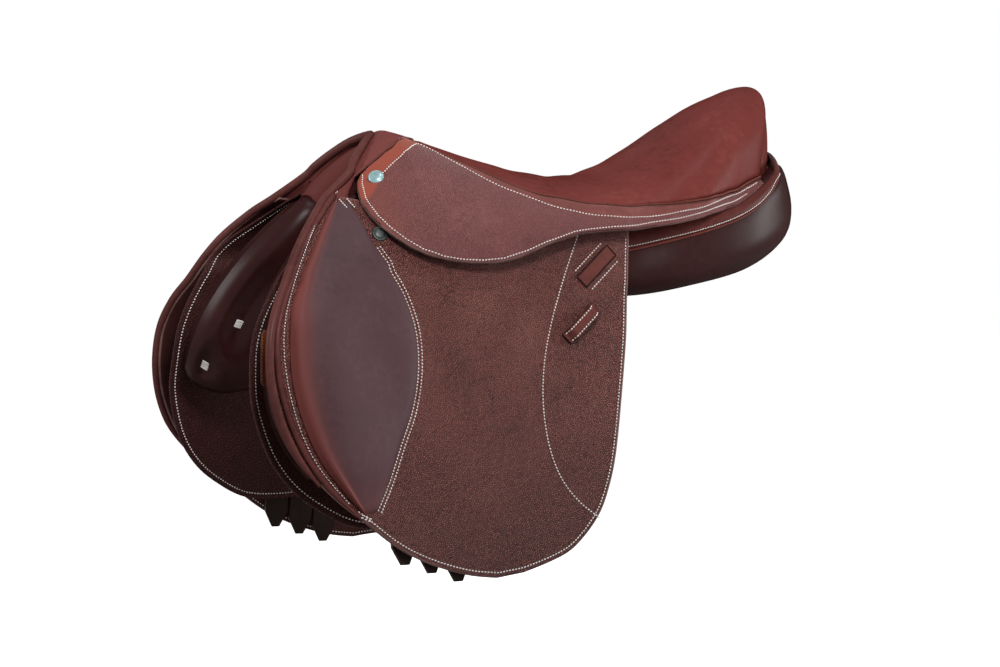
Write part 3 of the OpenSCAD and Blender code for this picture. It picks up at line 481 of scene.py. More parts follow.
def hideToneGroup():
    # the dye of a hide: cloudy from light to dark, with small specks
    group, given, result = newGroup(
        "hideTone", dict(Base=brown, Dark=darkBrown, Light=lightBrown, Cloud=0.5),
        dict(Color=4, Cloud=1))
    place = objectPlace(group)
    wide = noise(group, place, 11.0, 5.0, 0.58)["Fac"]
    small = noise(group, place, 130.0, 4.0, 0.65)["Fac"]
    share = mathNode(group, "ADD", mathNode(group, "MULTIPLY", wide, 0.65),
                     mathNode(group, "MULTIPLY", small, 0.35))
    darker = mathNode(group, "MULTIPLY", rangeNode(group, share, 0.5, 0.34), given["Cloud"])
    lighter = mathNode(group, "MULTIPLY", rangeNode(group, share, 0.5, 0.68), given["Cloud"])
    colour = mixColour(group, darker, given["Base"], given["Dark"])
    colour = mixColour(group, lighter, colour, given["Light"])
    setInputs(group, result, dict(Color=colour, Cloud=share))
    return group


def borderGroup():
    # another colour towards a piece's edge, a dye on skirts and pads and a painted shade on flaps:
    # the mesh says how much of it each point takes
    group, given, result = newGroup("borderTint", dict(Color=brown, Tint=darkBrown), dict(Color=4))
    share = addNode(group, "Attribute", dict(attribute_name="border")).outputs["Fac"]
    tinted = mixColour(group, share, given["Color"], given["Tint"])
    setInputs(group, result, dict(Color=tinted))
    return group


def pebbleGroup():
    # pressed pebble grain: the pale crests are a painted glint and the dark creases between them a
    # painted shade, uneven from place to place
    group, given, result = newGroup(
        "pebbleGrain", dict(Color=brown, Dark=darkBrown, Light=lightBrown, Size=0.002, Crease=0.5),
        dict(Color=4, Height=1))
    place = objectPlace(group)
    flat = addNode(group, "Mapping", Vector=place,  # laid flat on x and z, drawn out aslant
                   Rotation=(-math.pi / 2, 0.0, math.radians(38)))
    drawn = addNode(group, "Mapping", Vector=flat.outputs[0], Scale=(0.62, 1.0, 1.0)).outputs[0]
    wobble = noise(group, place, 420.0, 2.0)["Color"]
    shift = operationNode(group, "VectorMath", "SUBTRACT", wobble, (0.5, 0.5, 0.5))[0]
    moved = operationNode(group, "VectorMath", "MULTIPLY_ADD", shift, (0.0007, 0.0007, 0.0007),
                          drawn)[0]
    scale = mathNode(group, "DIVIDE", 1.0, given["Size"])
    edges, cells = (addNode(group, "TexVoronoi", dict(feature=feature, voronoi_dimensions="2D"),
                            Vector=moved, Scale=scale) for feature in ("DISTANCE_TO_EDGE", "F1"))
    edge = edges.outputs["Distance"]
    fine = noise(group, place, 1900.0, 2.0)["Fac"]
    patches = noise(group, place, 34.0, 2.0)["Fac"]
    # painted shade in the creases between the pebbles
    creaseShade = mathNode(group, "SUBTRACT", 1.0, rangeNode(group, edge, 0.02, 0.2))
    # painted glint on the pebbles' crests
    crestGlint = mathNode(group, "MULTIPLY", rangeNode(group, edge, 0.12, 0.42),
                     rangeNode(group, cells.outputs["Color"], 0.0, 1.0, 0.6, 1.0, smooth=False))
    colour = mixColour(group, mathNode(group, "MULTIPLY", crestGlint, 0.85), given["Color"],
                       given["Light"])
    colour = mixColour(group, mathNode(group, "MULTIPLY", creaseShade, given["Crease"]), colour,
                       given["Dark"])
    tall = mathNode(group, "MULTIPLY", rangeNode(group, edge, 0.0, 0.3),
                    rangeNode(group, patches, 0.3, 0.7, 0.65, 1.0))
    height = mathNode(group, "ADD", tall, mathNode(group, "MULTIPLY", fine, 0.22))
    setInputs(group, result, dict(Color=colour, Height=height))
    return group


def smoothGroup():
    # fine smooth hide: dark pores and faint pull lines
    group, given, result = newGroup("smoothHide", dict(Color=brown, Dark=darkBrown, Pore=0.2),
                                    dict(Color=4, Height=1))
    place = objectPlace(group)
    spots = addNode(group, "TexVoronoi", dict(feature="F1"), Vector=place, Scale=1150.0)
    stretch = addNode(group, "Mapping", Vector=place, Scale=(1.0, 1.0, 3.2)).outputs[0]
    pull = mathNode(group, "MULTIPLY", noise(group, stretch, 150.0, 5.0, 0.62)["Fac"], 0.5)
    fine = mathNode(group, "MULTIPLY", noise(group, place, 760.0, 3.0)["Fac"], 0.25)
    pore = mathNode(group, "SUBTRACT", 1.0, rangeNode(group, spots.outputs["Distance"], 0.05, 0.3))
    sunk = mathNode(group, "MULTIPLY", pore, -0.2)
    colour = mixColour(group, mathNode(group, "MULTIPLY", pore, given["Pore"]), given["Color"],
                       given["Dark"])
    height = mathNode(group, "ADD", mathNode(group, "ADD", sunk, pull), fine)
    setInputs(group, result, dict(Color=colour, Height=height))
    return group


def threadGroup():
    # twisted thread: fine diagonal plies, a little soiled
    group, given, result = newGroup("twistedThread", dict(Base=lightBrown, Dark=brown),
                                    dict(Color=4, Height=1))
    place = objectPlace(group)
    waves = addNode(group, "TexWave", dict(wave_type="BANDS", bands_direction="DIAGONAL"),
                    Vector=place, Scale=1400.0, Distortion=2.0, Detail=1.0)
    plies = waves.outputs["Fac"]
    soil = rangeNode(group, noise(group, place, 60.0, 3.0)["Fac"], 0.45, 0.75, 0.0, 0.45)
    colour = mixColour(group, soil, given["Base"], given["Dark"])
    colour = mixColour(group, mathNode(group, "MULTIPLY", plies, 0.18), colour, given["Dark"])
    setInputs(group, result, dict(Color=colour, Height=plies))
    return group


def metalGroup():
    # turned, brushed or moulded surface: scratches that run one way, and stains
    group, given, result = newGroup(
        "brushedSurface", dict(Base=lightBrown, Dark=brown, Stretch=(1.0, 1.0, 1.0)),
        dict(Color=4, Scratch=1))
    place = objectPlace(group)
    along = addNode(group, "Mapping", Vector=place, Scale=given["Stretch"]).outputs[0]
    stain = rangeNode(group, noise(group, place, 160.0, 3.0)["Fac"], 0.45, 0.72, 0.0, 0.55)
    colour = mixColour(group, stain, given["Base"], given["Dark"])
    scratch = noise(group, along, 420.0, 4.0)["Fac"]
    setInputs(group, result, dict(Color=colour, Scratch=scratch))
    return group


hideTone, borderTint, pebbleGrain = hideToneGroup(), borderGroup(), pebbleGroup()
smoothHide, twistedThread, brushedSurface = smoothGroup(), threadGroup(), metalGroup()


def newMaterial(name):
    material = bpy.data.materials.new(name)
    material.use_nodes = True
    tree = material.node_tree
    return material, tree, tree.nodes["Principled BSDF"]


def bumpNormal(tree, height, strength, distance):
    bump = addNode(tree, "Bump", Strength=strength, Distance=distance, Height=height)
    return bump.outputs["Normal"]


def leather(name, base, dark, light, cloud=0.6, grain=0.0, creaseShade=0.5, relief=0.0003, strength=0.6,
            rough=(0.46, 0.58), specular=0.08, gloss=0.0, glossRough=0.3, border=None):
    material, tree, shader = newMaterial(name)
    base, dark, light = tone(*base), tone(*dark), tone(*light)
    hue = addGroup(tree, hideTone, Base=base, Dark=dark, Light=light, Cloud=cloud)
    colour = hue["Color"]
    if border:
        colour = addGroup(tree, borderTint, Color=colour, Tint=tone(*border))["Color"]
    # the pebble grain paints shade into its creases and a glint onto its crests
    if grain:
        skin = addGroup(tree, pebbleGrain, Color=colour, Dark=dark, Light=light, Size=grain,
                        Crease=creaseShade)
    else:
        skin = addGroup(tree, smoothHide, Color=colour, Dark=dark)
    setInputs(tree, shader, {
        "Base Color": skin["Color"], "Roughness": rangeNode(tree, hue["Cloud"], 0.35, 0.65, *rough),
        "Normal": bumpNormal(tree, skin["Height"], strength, relief),
        "Specular IOR Level": specular, "Coat Roughness": glossRough})
    if gloss:  # polish shows where the leather faces the eye and fades towards its outline
        facing = addNode(tree, "LayerWeight", Blend=0.5).outputs["Facing"]
        setInputs(tree, shader, {"Coat Weight": rangeNode(tree, facing, 0.45, 0.95, gloss, 0.0)})
    return material


seatLeather = leather("seatLeather", (106, 50, 46), (76, 33, 30), (128, 66, 61), cloud=0.5,
                      relief=0.00012, specular=0.0, gloss=0.08, glossRough=0.34)
capLeather = leather("capLeather", (112, 60, 57), (78, 38, 37), (138, 80, 76), relief=0.00015,
                     specular=0.0, gloss=0.1)
bindingLeather = leather("bindingLeather", (88, 48, 45), (58, 29, 28), (114, 68, 64), relief=0.0002,
                         specular=0.0, gloss=0.16, glossRough=0.36)
skirtLeather = leather("skirtLeather", (106, 61, 60), (58, 29, 28), (138, 90, 89), grain=0.0009,
                       creaseShade=0.65, strength=0.8, rough=(0.4, 0.52), specular=0.12,
                       border=(126, 66, 56))
# the flap's border colour is a painted shade, laid on towards its foot
flapLeather = leather("flapLeather", (118, 67, 61), (34, 15, 13), (156, 99, 92), grain=0.0012,
                      creaseShade=1.0, relief=0.0009, strength=1.0, rough=(0.34, 0.46), specular=0.16,
                      border=(52, 26, 23))
keeperLeather = leather("keeperLeather", (94, 50, 45), (60, 29, 26), (116, 68, 61), relief=0.0002,
                        specular=0.1)
# the pad's grey-purple colour is partly a painted sheen; its border colour is the leather's own red
padSheenLeather = leather("padSheenLeather", (74, 52, 56), (52, 35, 38), (92, 69, 74), cloud=0.45,
                     relief=0.0001, specular=0.1, border=(112, 58, 53))
bandLeather = leather("bandLeather", (106, 59, 55), (78, 40, 37), (132, 80, 75), relief=0.00015,
                      specular=0.06, gloss=0.08, border=(140, 70, 56))
sweatLeather = leather("sweatLeather", (54, 28, 26), (34, 16, 15), (80, 46, 43), grain=0.0022,
                       relief=0.0004, specular=0.06)
panelLeather = leather("panelLeather", (46, 21, 20), (28, 12, 11), (62, 32, 30), cloud=0.5,
                       relief=0.00016, specular=0.0, gloss=0.17)
facingLeather = leather("facingLeather", (80, 38, 34), (50, 22, 19), (104, 53, 48), relief=0.0002,
                        specular=0.03, gloss=0.08)
liningLeather = leather("liningLeather", (64, 34, 32), (44, 22, 21), (88, 54, 51), relief=0.00025,
                        rough=(0.55, 0.68), specular=0.06)
archLeather = leather("archLeather", (98, 50, 47), (72, 34, 32), (120, 66, 62), relief=0.0002,
                      specular=0.05)
blockLeather = leather("blockLeather", (52, 27, 25), (34, 17, 16), (70, 40, 37), relief=0.0002)
billetLeather = leather("billetLeather", (40, 28, 25), (24, 16, 15), (56, 42, 38), cloud=0.5,
                        relief=0.0002)
edgePaint = leather("edgePaint", (112, 84, 80), (72, 48, 45), (136, 106, 102), cloud=0.7,
                    relief=0.0002)
weltLeather = leather("weltLeather", (90, 42, 35), (60, 26, 22), (112, 58, 49), relief=0.00012,
                      gloss=0.05)
# painted shade: near-black leather for the keepers' crease cord and edges, standing in for the
# shade in the groove and beside the loop
keeperShadeLeather = leather("keeperShadeLeather", (34, 18, 17), (22, 11, 10), (46, 26, 24), relief=0.0001)
tabLeather = leather("tabLeather", (132, 70, 44), (96, 48, 30), (160, 94, 64), relief=0.0002)


def threadMaterial(name, base, dark):
    material, tree, shader = newMaterial(name)
    twist = addGroup(tree, twistedThread, Base=tone(*base), Dark=tone(*dark))
    setInputs(tree, shader, {
        "Base Color": twist["Color"], "Normal": bumpNormal(tree, twist["Height"], 0.4, 0.0001),
        "Roughness": 0.7, "Specular IOR Level": 0.2})
    return material


paleThread = threadMaterial("paleThread", (238, 233, 228), (190, 178, 170))
tanThread = threadMaterial("tanThread", (206, 128, 66), (150, 88, 42))


def metalMaterial(name, base, dark, metallic, rough, stretch=(1.0, 1.0, 1.0)):
    material, tree, shader = newMaterial(name)
    worn = addGroup(tree, brushedSurface, Base=tone(*base), Dark=tone(*dark), Stretch=stretch)
    setInputs(tree, shader, {
        "Base Color": worn["Color"], "Metallic": metallic,
        "Roughness": rangeNode(tree, worn["Scratch"], 0.3, 0.7, *rough),
        "Normal": bumpNormal(tree, worn["Scratch"], 0.15, 0.0001)})
    return material


studMetal = metalMaterial("studMetal", (128, 158, 160), (92, 122, 124), 0.3, (0.28, 0.4))
# painted shade: the flap stud is the same stud as the skirt's, darkened for the shade under the
# skirt
shadedStudMetal = metalMaterial("shadedStudMetal", (22, 32, 30), (12, 18, 17), 0.3, (0.3, 0.45))
steel = metalMaterial("brushedSteel", (188, 190, 192), (140, 143, 146), 1.0, (0.22, 0.4),
                      (0.1, 1.0, 1.0))
moulded = metalMaterial("treeShell", (38, 38, 40), (24, 24, 25), 0.0, (0.5, 0.7))

# flat woven tape: warp ribs crossed by a weft
tape = dict(pale=tone(206, 198, 180), dark=tone(140, 130, 112), warp=260.0, weft=442.0)
webbing, tree, shader = newMaterial("webbing")
place = objectPlace(tree)
warp, weft = (addNode(tree, "TexWave", dict(bands_direction=way), Vector=place, Scale=tape[rib],
                      Distortion=0.6).outputs["Fac"] for way, rib in (("X", "warp"), ("Y", "weft")))
weave = mathNode(tree, "MAXIMUM", warp, weft)
gaps = mathNode(tree, "MULTIPLY", mathNode(tree, "SUBTRACT", 1.0, weave), 0.8)
fuzz = mathNode(tree, "MULTIPLY", noise(tree, place, 700.0, 3.0)["Fac"], 0.3)
colour = mixColour(tree, fuzz, mixColour(tree, gaps, tape["pale"], tape["dark"]), tape["dark"])
setInputs(tree, shader, {
    "Base Color": colour, "Normal": bumpNormal(tree, weave, 0.6, 0.0004), "Roughness": 0.85,
    "Specular IOR Level": 0.15})
print("materials made")

# camera at the photograph's angle
eye = dict(turn=-22, rise=2, lens=108, sensor=36, away=2.76, aim=(-0.066, -0.1656, 0.0),
           shiftPx=(45, 43.5), focalPx=3000, clip=(0.05, 60))
turn, rise = math.radians(eye["turn"]), math.radians(eye["rise"])
toEye = Vector((math.sin(turn) * math.cos(rise), -math.cos(turn) * math.cos(rise), math.sin(rise)))
right = Vector((math.cos(turn), math.sin(turn), 0))
upward = right.cross(-toEye)
perPx = eye["away"] / eye["focalPx"]
camera = bpy.data.objects.new("camera", bpy.data.cameras.new("camera"))
camera.data.lens, camera.data.sensor_width = eye["lens"], eye["sensor"]
camera.data.clip_start, camera.data.clip_end = eye["clip"]
camera.location = (Vector(eye["aim"]) + toEye * eye["away"] - right * (eye["shiftPx"][0] * perPx)
                   - upward * (eye["shiftPx"][1] * perPx))
camera.rotation_mode = "QUATERNION"
camera.rotation_quaternion = (-toEye).to_track_quat("-Z", "Y")
scene.collection.objects.link(camera)
scene.camera = camera


# pieces on a flap or skirt get their placement baked into their points; the skirt's hinge line is
# worked out but not used
def bendWithFlap(piece):
    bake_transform(piece)


skirtLift = dict(point=(-0.0714, -0.12945, 0.0675), line=(0.9834, -0.09515, -0.15453),
                 facing=(-0.18, 0.66), above=0.005, below=0.016)


def bendWithSkirt(piece):
    point, line = np.array(skirtLift["point"]), np.array(skirtLift["line"])
    down = unit(np.cross(line, rakedNormal(*np.array(skirtLift["facing"]))))
    down = down if down[2] < 0 else -down
    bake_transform(piece)


# seat: smooth leather drawn over foam, rolled over the cantle and down its back
seat = dict(edge=0.0035, inset=0.002, innerInset=0.03, hollow=0.011, fill=0.85, perTurn=0.215,
            perLength=0.37, backFoot=0.104, backDrop=0.014, backLean=0.002, backCrown=0.0025,
            backThick=0.003)
acrossSteps = np.concatenate([np.linspace(0, 0.95, 34), np.linspace(0.96, 1, 7)])
acrossSteps = np.concatenate([-acrossSteps[:0:-1], acrossSteps])
alongSteps = np.concatenate([np.linspace(0, 0.012, 5), np.linspace(0.024, 0.95, 74),
                             np.linspace(0.956, 1, 16)])
v, t = np.meshgrid(acrossSteps, alongSteps, indexing="ij")
sideRoom = (1 - np.abs(v)) * lookUp(seamTurn, seatShare(t, v)) * seat["perTurn"]
over = np.clip(1 - np.minimum(sideRoom, t * seat["perLength"]) / seat["edge"], 0, 1)
drawnIn = seat["edge"] * (1 - np.sqrt(1 - over ** 2))
seatOuter = seatPoint(t, v, seat["inset"], drawnIn)
seatInner = seatPoint(t, v, seat["innerInset"], drawnIn * 0.3 + seat["hollow"])
seatInner[..., 0] -= seat["backThick"] * eased((t - 0.9) / 0.1)
v, t = np.meshgrid(acrossSteps, np.linspace(0, 1, 13)[1:], indexing="ij")
rimRow = seatOuter[:, -1:]
footRow = rimRow + (seat["backLean"], 0, 0)
footRow[..., 2] = np.minimum(rimRow[..., 2] - seat["backDrop"], seat["backFoot"])
backRows = mixed(rimRow, footRow, t[..., None])
backRows[..., 0] += seat["backCrown"] * np.sin(np.pi * t ** 0.7) * (1 - v ** 4)
innerRim = seatInner[:, -1:]
innerFoot = footRow - (seat["backThick"], 0, 0)
innerFoot[..., 2] = np.minimum(innerFoot[..., 2], innerRim[..., 2] - 0.001)
seatPiece = leatherSheet("seatCover", np.concatenate([seatOuter, backRows], 1),
                         np.concatenate([seatInner, mixed(innerRim, innerFoot, t[..., None])], 1),
                         [seatLeather, liningLeather], roundness=0.0, ringCount=1)
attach(seatPiece, "saddle")
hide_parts("seat", "seat_foam", "cantle_back")
print("seat made")

# welts: between seat and skirt, and behind the pommel cap
welts = dict(radius=0.0013, begins=0.012, ends=0.572, aside=0.0035, sink=0.0009, capTurn=0.283,
             capBehind=0.0022, capSink=0.0008)
weltShare = np.linspace(float(capBack(0.1)) + welts["begins"], welts["ends"], 150)
for side in sides:
    path = rakedPoint(weltShare, lookUp(seamTurn, weltShare) + welts["aside"], welts["sink"])
    piece = cordTube(side + "SeatWelt", path, welts["radius"], weltLeather, side)
    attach(piece, "saddle")
capTurns = np.linspace(-welts["capTurn"], welts["capTurn"], 110)
path = domePoint(capBack(capTurns) + welts["capBehind"], capTurns, welts["capSink"])
piece = cordTube("capWelt", path, welts["radius"], weltLeather)
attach(piece, "saddle")

# pommel cap
cap = dict(thick=0.003, tip=0.28, ahead=0.006)
u, t = np.meshgrid(np.linspace(-cap["tip"], cap["tip"], 72), np.linspace(0, 1, 20), indexing="ij")
capShare = mixed(capFront(u) - cap["ahead"] - archFurther(u), capBack(u), t)
piece = leatherSheet("pommelCap", domePoint(capShare, u, 0), domePoint(capShare, u, cap["thick"]),
                     [capLeather, liningLeather, capLeather], roundness=0.5)
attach(piece, "saddle")
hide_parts("pommel_cap")
print("pommel made")

# panels: stuffed leather from the front bolster to the round rear, with sewn tufts in front
panel = dict(halfThick=0.037, box=0.68, bow=0.06, bowEnd=0.45, tuft=0.012, reach=0.03, tuftTurn=17,
             tufts=[(0.14, 278), (0.104, 312)], fill=0.85, tie=0.0105, strands=0.002, end=0.94,
             close=0.85, rollMore=0.55, rollAt=0.13, rollReach=0.085, waistLess=0.15, waistAt=0.33,
             waistReach=0.08, shoulder=0.03)
panelTop = [(-0.565, 0.425, 0.44), (-0.5425, 0.43, 0.445), (-0.49, 0.45, 0.425),
            (-0.4125, 0.475, 0.375), (-0.325, 0.475, 0.32), (-0.225, 0.475, 0.295),
            (-0.1, 0.46, 0.285), (0.025, 0.5, 0.28), (0.15, 0.52, 0.315), (0.3, 0.5, 0.375),
            (0.45, 0.43, 0.47), (0.555, 0.34, 0.57), (0.595, 0.28, 0.635)]
panelFoot = [(-0.825, 0.77, -0.39), (-0.805, 0.775, -0.46), (-0.725, 0.78, -0.52),
             (-0.595, 0.755, -0.46), (-0.45, 0.71, -0.29), (-0.28, 0.65, -0.13),
             (-0.125, 0.575, -0.045), (0.025, 0.54, -0.035), (0.15, 0.52, -0.04),
             (0.3, 0.48, 0.005), (0.47, 0.39, 0.085), (0.585, 0.315, 0.215), (0.635, 0.275, 0.375)]
panelSwell = [0.22, 0.43, 0.54, 0.57, 0.56, 0.6, 0.69, 0.82, 0.96, 0.97, 0.83, 0.62, 0.33]
panelSize = (dome["length"], dome["halfW"], dome["cantleH"])


def panelPoint(s, angle):
    s, angle = np.broadcast_arrays(np.asarray(s, float), np.asarray(angle, float))
    a = alongPoints(np.array(panelTop) * panelSize, s)
    b = alongPoints(np.array(panelFoot) * panelSize, s)
    swell = panel["halfThick"] * alongPoints(np.array(panelSwell)[:, None], s)[..., 0]
    line = b - a
    down = unit(line)
    out = unit(np.array((0.0, 1.0, 0.0)) - down[..., 1:2] * down)
    cosine, sine = np.cos(np.radians(angle)), np.sin(np.radians(angle))
    c, d = (np.sign(f) * np.abs(f) ** panel["box"] for f in (cosine, sine))
    dimple = panel["tuft"] * np.max([
        bell(s, at, panel["reach"]) * bell(angle, around, panel["tuftTurn"])
        for at, around in panel["tufts"]], axis=0)
    full = (1 + panel["rollMore"] * bell(s, panel["rollAt"], panel["rollReach"])
            - panel["waistLess"] * bell(s, panel["waistAt"], panel["waistReach"]))
    swell = swell * mixed(1, full, np.clip(-2 * sine, 0, 1))  # the roll swells towards the horse
    bow = panel["bow"] * dome["length"] * (1 - c * c) * (1 - eased(s / panel["bowEnd"]))
    p = ((a + b) / 2 + (np.linalg.norm(line, axis=-1) / 2 * c)[..., None] * down
         + ((swell - dimple) * d)[..., None] * out)
    p[..., 0] -= bow
    return p * (1, -1, 1)


panelStations = np.concatenate([[0.001, 0.006, 0.014, 0.025], np.linspace(0.036, 0.964, 120),
                                [0.975, 0.985, 0.992, 0.997]])
s, angle = np.meshgrid(panelStations, np.linspace(0, 360, 64, endpoint=False), indexing="ij")
panelRings = panelPoint(s, angle)
closing = np.clip((panelStations - panel["end"]) / (1 - panel["end"]), 0, 1)
middle = panelRings.mean(1, keepdims=True)
narrowed = np.sqrt(1 - panel["close"] * closing ** 2)[:, None, None]
panelRings = middle + (panelRings - middle) * narrowed
panelTree = BVHTree.FromPolygons([tuple(q) for q in panelRings.reshape(-1, 3)],
                                 loopQuads(np.arange(s.size).reshape(s.shape)).tolist())


def overPanel(points, room):
    # leather that lies on the panel's shoulder is pushed out to clear it
    moved = np.array(points, float)
    for q in moved.reshape(-1, 3):
        if q[0] > panel["shoulder"]:
            fromOutside = Vector((q[0], -0.5, q[2]))
            spot = panelTree.ray_cast(fromOutside, Vector((0, 1, 0)))[0]
            if spot is not None:
                q[1] = min(q[1], spot.y - room)
    return moved


# skirts: one grained leather each side, from the seat seam to the free lower edge
skirt = dict(thick=0.0045, stitchIn=0.0044, room=0.0014, under=0.009, rearFrom=-0.11, rows=36,
             bandRows=7, pulls=60, clearPulls=45, perTurn=0.2)  # metres of leather a quarter turn
skirtShares = np.concatenate([np.linspace(-0.552, -0.535, 9), np.linspace(-0.53, -0.3, 44),
                              np.linspace(-0.295, 0.575, 110)])
upperRow = [(-0.489, 0.383), (-0.472, 0.3705), (-0.436, 0.3376), (-0.4125, 0.3076), (-0.391, 0.26),
            (-0.366, 0.212), (-0.341, 0.2346), (-0.314, 0.289), (-0.286, 0.342), (-0.2487, 0.412),
            (-0.209, 0.472), (-0.141, 0.5365), (-0.078, 0.602), (-0.033, 0.631), (0.042, 0.677),
            (0.114, 0.718), (0.146, 0.744), (0.214, 0.784), (0.299, 0.845), (0.387, 0.881),
            (0.465, 0.897), (0.525, 0.897), (0.56, 0.886)]
aheadOfRow, behindRow = [(-0.5525, 0.458), (-0.53, 0.462), (-0.51, 0.43)], [(0.58, 0.876)]
footLine = evenly(np.array(skirtFront[::-1] + footTurn) * (dome["length"], skirt["perTurn"]))
lowerRow = insetLine(footLine, -skirt["stitchIn"]) / (dome["length"], skirt["perTurn"])
rearRow = [(-0.06, 0.777), (-0.018, 0.76), (0.03, 0.756), (0.114, 0.772), (0.184, 0.8),
           (0.26, 0.847), (0.348, 0.887), (0.44, 0.913), (0.515, 0.911)]
lowerRow = np.concatenate([lowerRow[lowerRow[:, 0] < skirt["rearFrom"]],
                           alongPoints(rearRow, np.linspace(0, 1, 90))])
top = skirtTop(skirtShares) + skirt["under"]
foot = lookUp(footTurn, skirtShares)
seamLine = lookUp(aheadOfRow + upperRow + behindRow, skirtShares)
seamLine = np.clip(seamLine, top + 0.001, foot - 0.001)
rowShare = np.linspace(0, 1, skirt["bandRows"] + 1)[None]
lowShare = np.linspace(0, 1, skirt["rows"] - skirt["bandRows"])[None, 1:]
skirtGrid = np.concatenate([mixed(top[:, None], seamLine[:, None], rowShare),
                            mixed(seamLine[:, None], foot[:, None], lowShare)], 1)
s = np.broadcast_to(skirtShares[:, None], skirtGrid.shape)
skirtOuter = rakedPoint(s, skirtGrid, 0)
need = (overPanel(skirtOuter, skirt["thick"] + skirt["room"]) - skirtOuter)[..., 1]
push = need.copy()
for step in range(skirt["pulls"]):  # drawn tight like a skin over the panel's shoulder
    even = push.copy()
    even[1:-1] = (push[:-2] + push[2:] + 2 * push[1:-1]) / 4
    even[:, 1:-1] = (even[:, :-2] + even[:, 2:] + 2 * even[:, 1:-1]) / 4
    push = np.minimum(need, even) if step < skirt["clearPulls"] else even
skirtOuter[..., 1] += push
skirtInner = rakedPoint(s, skirtGrid, skirt["thick"])
skirtInner[..., 1] += push


def onSkirt(share, turn):
    # the place on the finished skirt of a point given by share and turn
    i = np.interp(share, skirtShares, np.arange(len(skirtShares)))
    low = np.minimum(i.astype(int), len(skirtShares) - 2)
    part = i - low
    spots = []
    for column, portion, wanted in zip(low, part, turn):
        turns = mixed(skirtGrid[column], skirtGrid[column + 1], portion)
        ring = mixed(skirtOuter[column], skirtOuter[column + 1], portion)
        spots.append(readOff(wanted, turns, ring))
    return np.array(spots)


# the dye is redder towards the front corner, and further back along the band
frontDye = dict(corner=0.75, cornerAt=-0.43, cornerRun=0.11, bandAt=-0.15, bandRun=0.3, fade=0.04)
inBand = eased((seamLine[:, None] + frontDye["fade"] / 2 - skirtGrid) / frontDye["fade"])
cornerGlow = frontDye["corner"] * eased((frontDye["cornerAt"] - s) / frontDye["cornerRun"])
bandGlow = inBand * eased((frontDye["bandAt"] - s) / frontDye["bandRun"])
facesAlong, facesDown = (count - 1 for count in skirtGrid.shape)
smoothFaces = [facesDown * i + j for i in range(facesAlong) for j in range(skirt["bandRows"])]
for side in sides:
    piece = leatherSheet(side + "Skirt", skirtOuter, skirtInner,
                         [skirtLeather, liningLeather, edgePaint, bandLeather], side)
    for face in smoothFaces:  # the band is of the last leather
        piece.data.polygons[face].material_index = 3
    tintBorder(piece, np.maximum(cornerGlow, bandGlow))
    bendWithSkirt(piece)
    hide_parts(side + "_skirt_band", side + "_skirt_lobe")
    rows = [stitchGrains(onSkirt(*row.T), rakedNormal(*row.T))
            for row in (lowerRow, alongPoints(upperRow, np.linspace(0, 1, 220)))]
    piece = stitchPiece(side + "SkirtStitch", rows, paleThread, side)
    bendWithSkirt(piece)
print("skirts made")

# flaps: grained leather from under the skirt down to the rounded foot
flapFront = [(-0.479, -0.003), (-0.525, -0.088), (-0.559, -0.181), (-0.572, -0.26), (-0.576, -0.32),
             (-0.573, -0.41), (-0.553, -0.515), (-0.517, -0.61), (-0.468, -0.695), (-0.416, -0.763),
             (-0.348, -0.85), (-0.29, -0.905), (-0.232, -0.947), (-0.171, -0.98), (-0.1085, -1)]
flapBack = [(0.405, -0.003), (0.392, -0.071), (0.38, -0.135), (0.366, -0.2), (0.345, -0.31),
            (0.319, -0.422), (0.295, -0.52), (0.2725, -0.609), (0.25, -0.69), (0.225, -0.762),
            (0.1875, -0.844), (0.1425, -0.905), (0.0865, -0.956), (0.025, -0.981),
            (-0.0425, -0.998)]
flapTopEdge = [(-0.24, 0.42), (-0.178, 0.355), (-0.14, 0.255), (-0.085, 0.16), (0, 0.118),
               (0.15, 0.114), (0.275, 0.108), (0.35, 0.091), (0.4125, 0.0588)]
# height and place of the front edge above the hinge line, under the binding
flapTopFront = [(-0.0029, -0.1953), (0.0205, -0.179), (0.042, -0.161), (0.0658, -0.1365),
                (0.0817, -0.1174), (0.106, -0.088)]
flapFit = dict(low=0.0005, behind=0.002)
flapStitch = dict(inset=0.0042, curve=[
    (0.1085, 0.0088), (0.086, -0.027), (0.063, -0.068), (0.047, -0.104), (0.037, -0.14),
    (0.0335, -0.178), (0.038, -0.211), (0.051, -0.237), (0.07, -0.257)])


def flapTopGrid(rows, cols):
    s, t = np.linspace(0, 1, cols + 1), 1 - np.linspace(0, 1, rows + 1)
    edge = alongPoints(inFlap(flapTopEdge, dome["cantleH"]), s)
    ends = np.array((flapFront[0][0], flapBack[0][0])) * flap["length"]
    hingeRow = np.stack([mixed(ends[0], ends[1], s), np.full_like(s, flapFit["low"])], -1)
    grid = mixed(hingeRow[None], edge[None], t[:, None, None])
    front = lookUp(flapTopFront, grid[:, 0, 1]) + flapFit["behind"]
    grid[..., 0] += (front - grid[:, 0, 0])[:, None] * (1 - s)[None] ** 3
    return grid


def flapPatch(grid, outAt, lift=0.0):
    x, z = grid[..., 0], grid[..., 1]
    return flapWorld(x, z, outAt(x, z) + lift)


def flapStitches(line, outAt, lift=0.0, **settings):
    line = evenly(line)
    x, z = line[:, 0], line[:, 1]
    return stitchGrains(flapWorld(x, z, outAt(x, z) + lift), flapNormal(x, z, outAt), **settings)


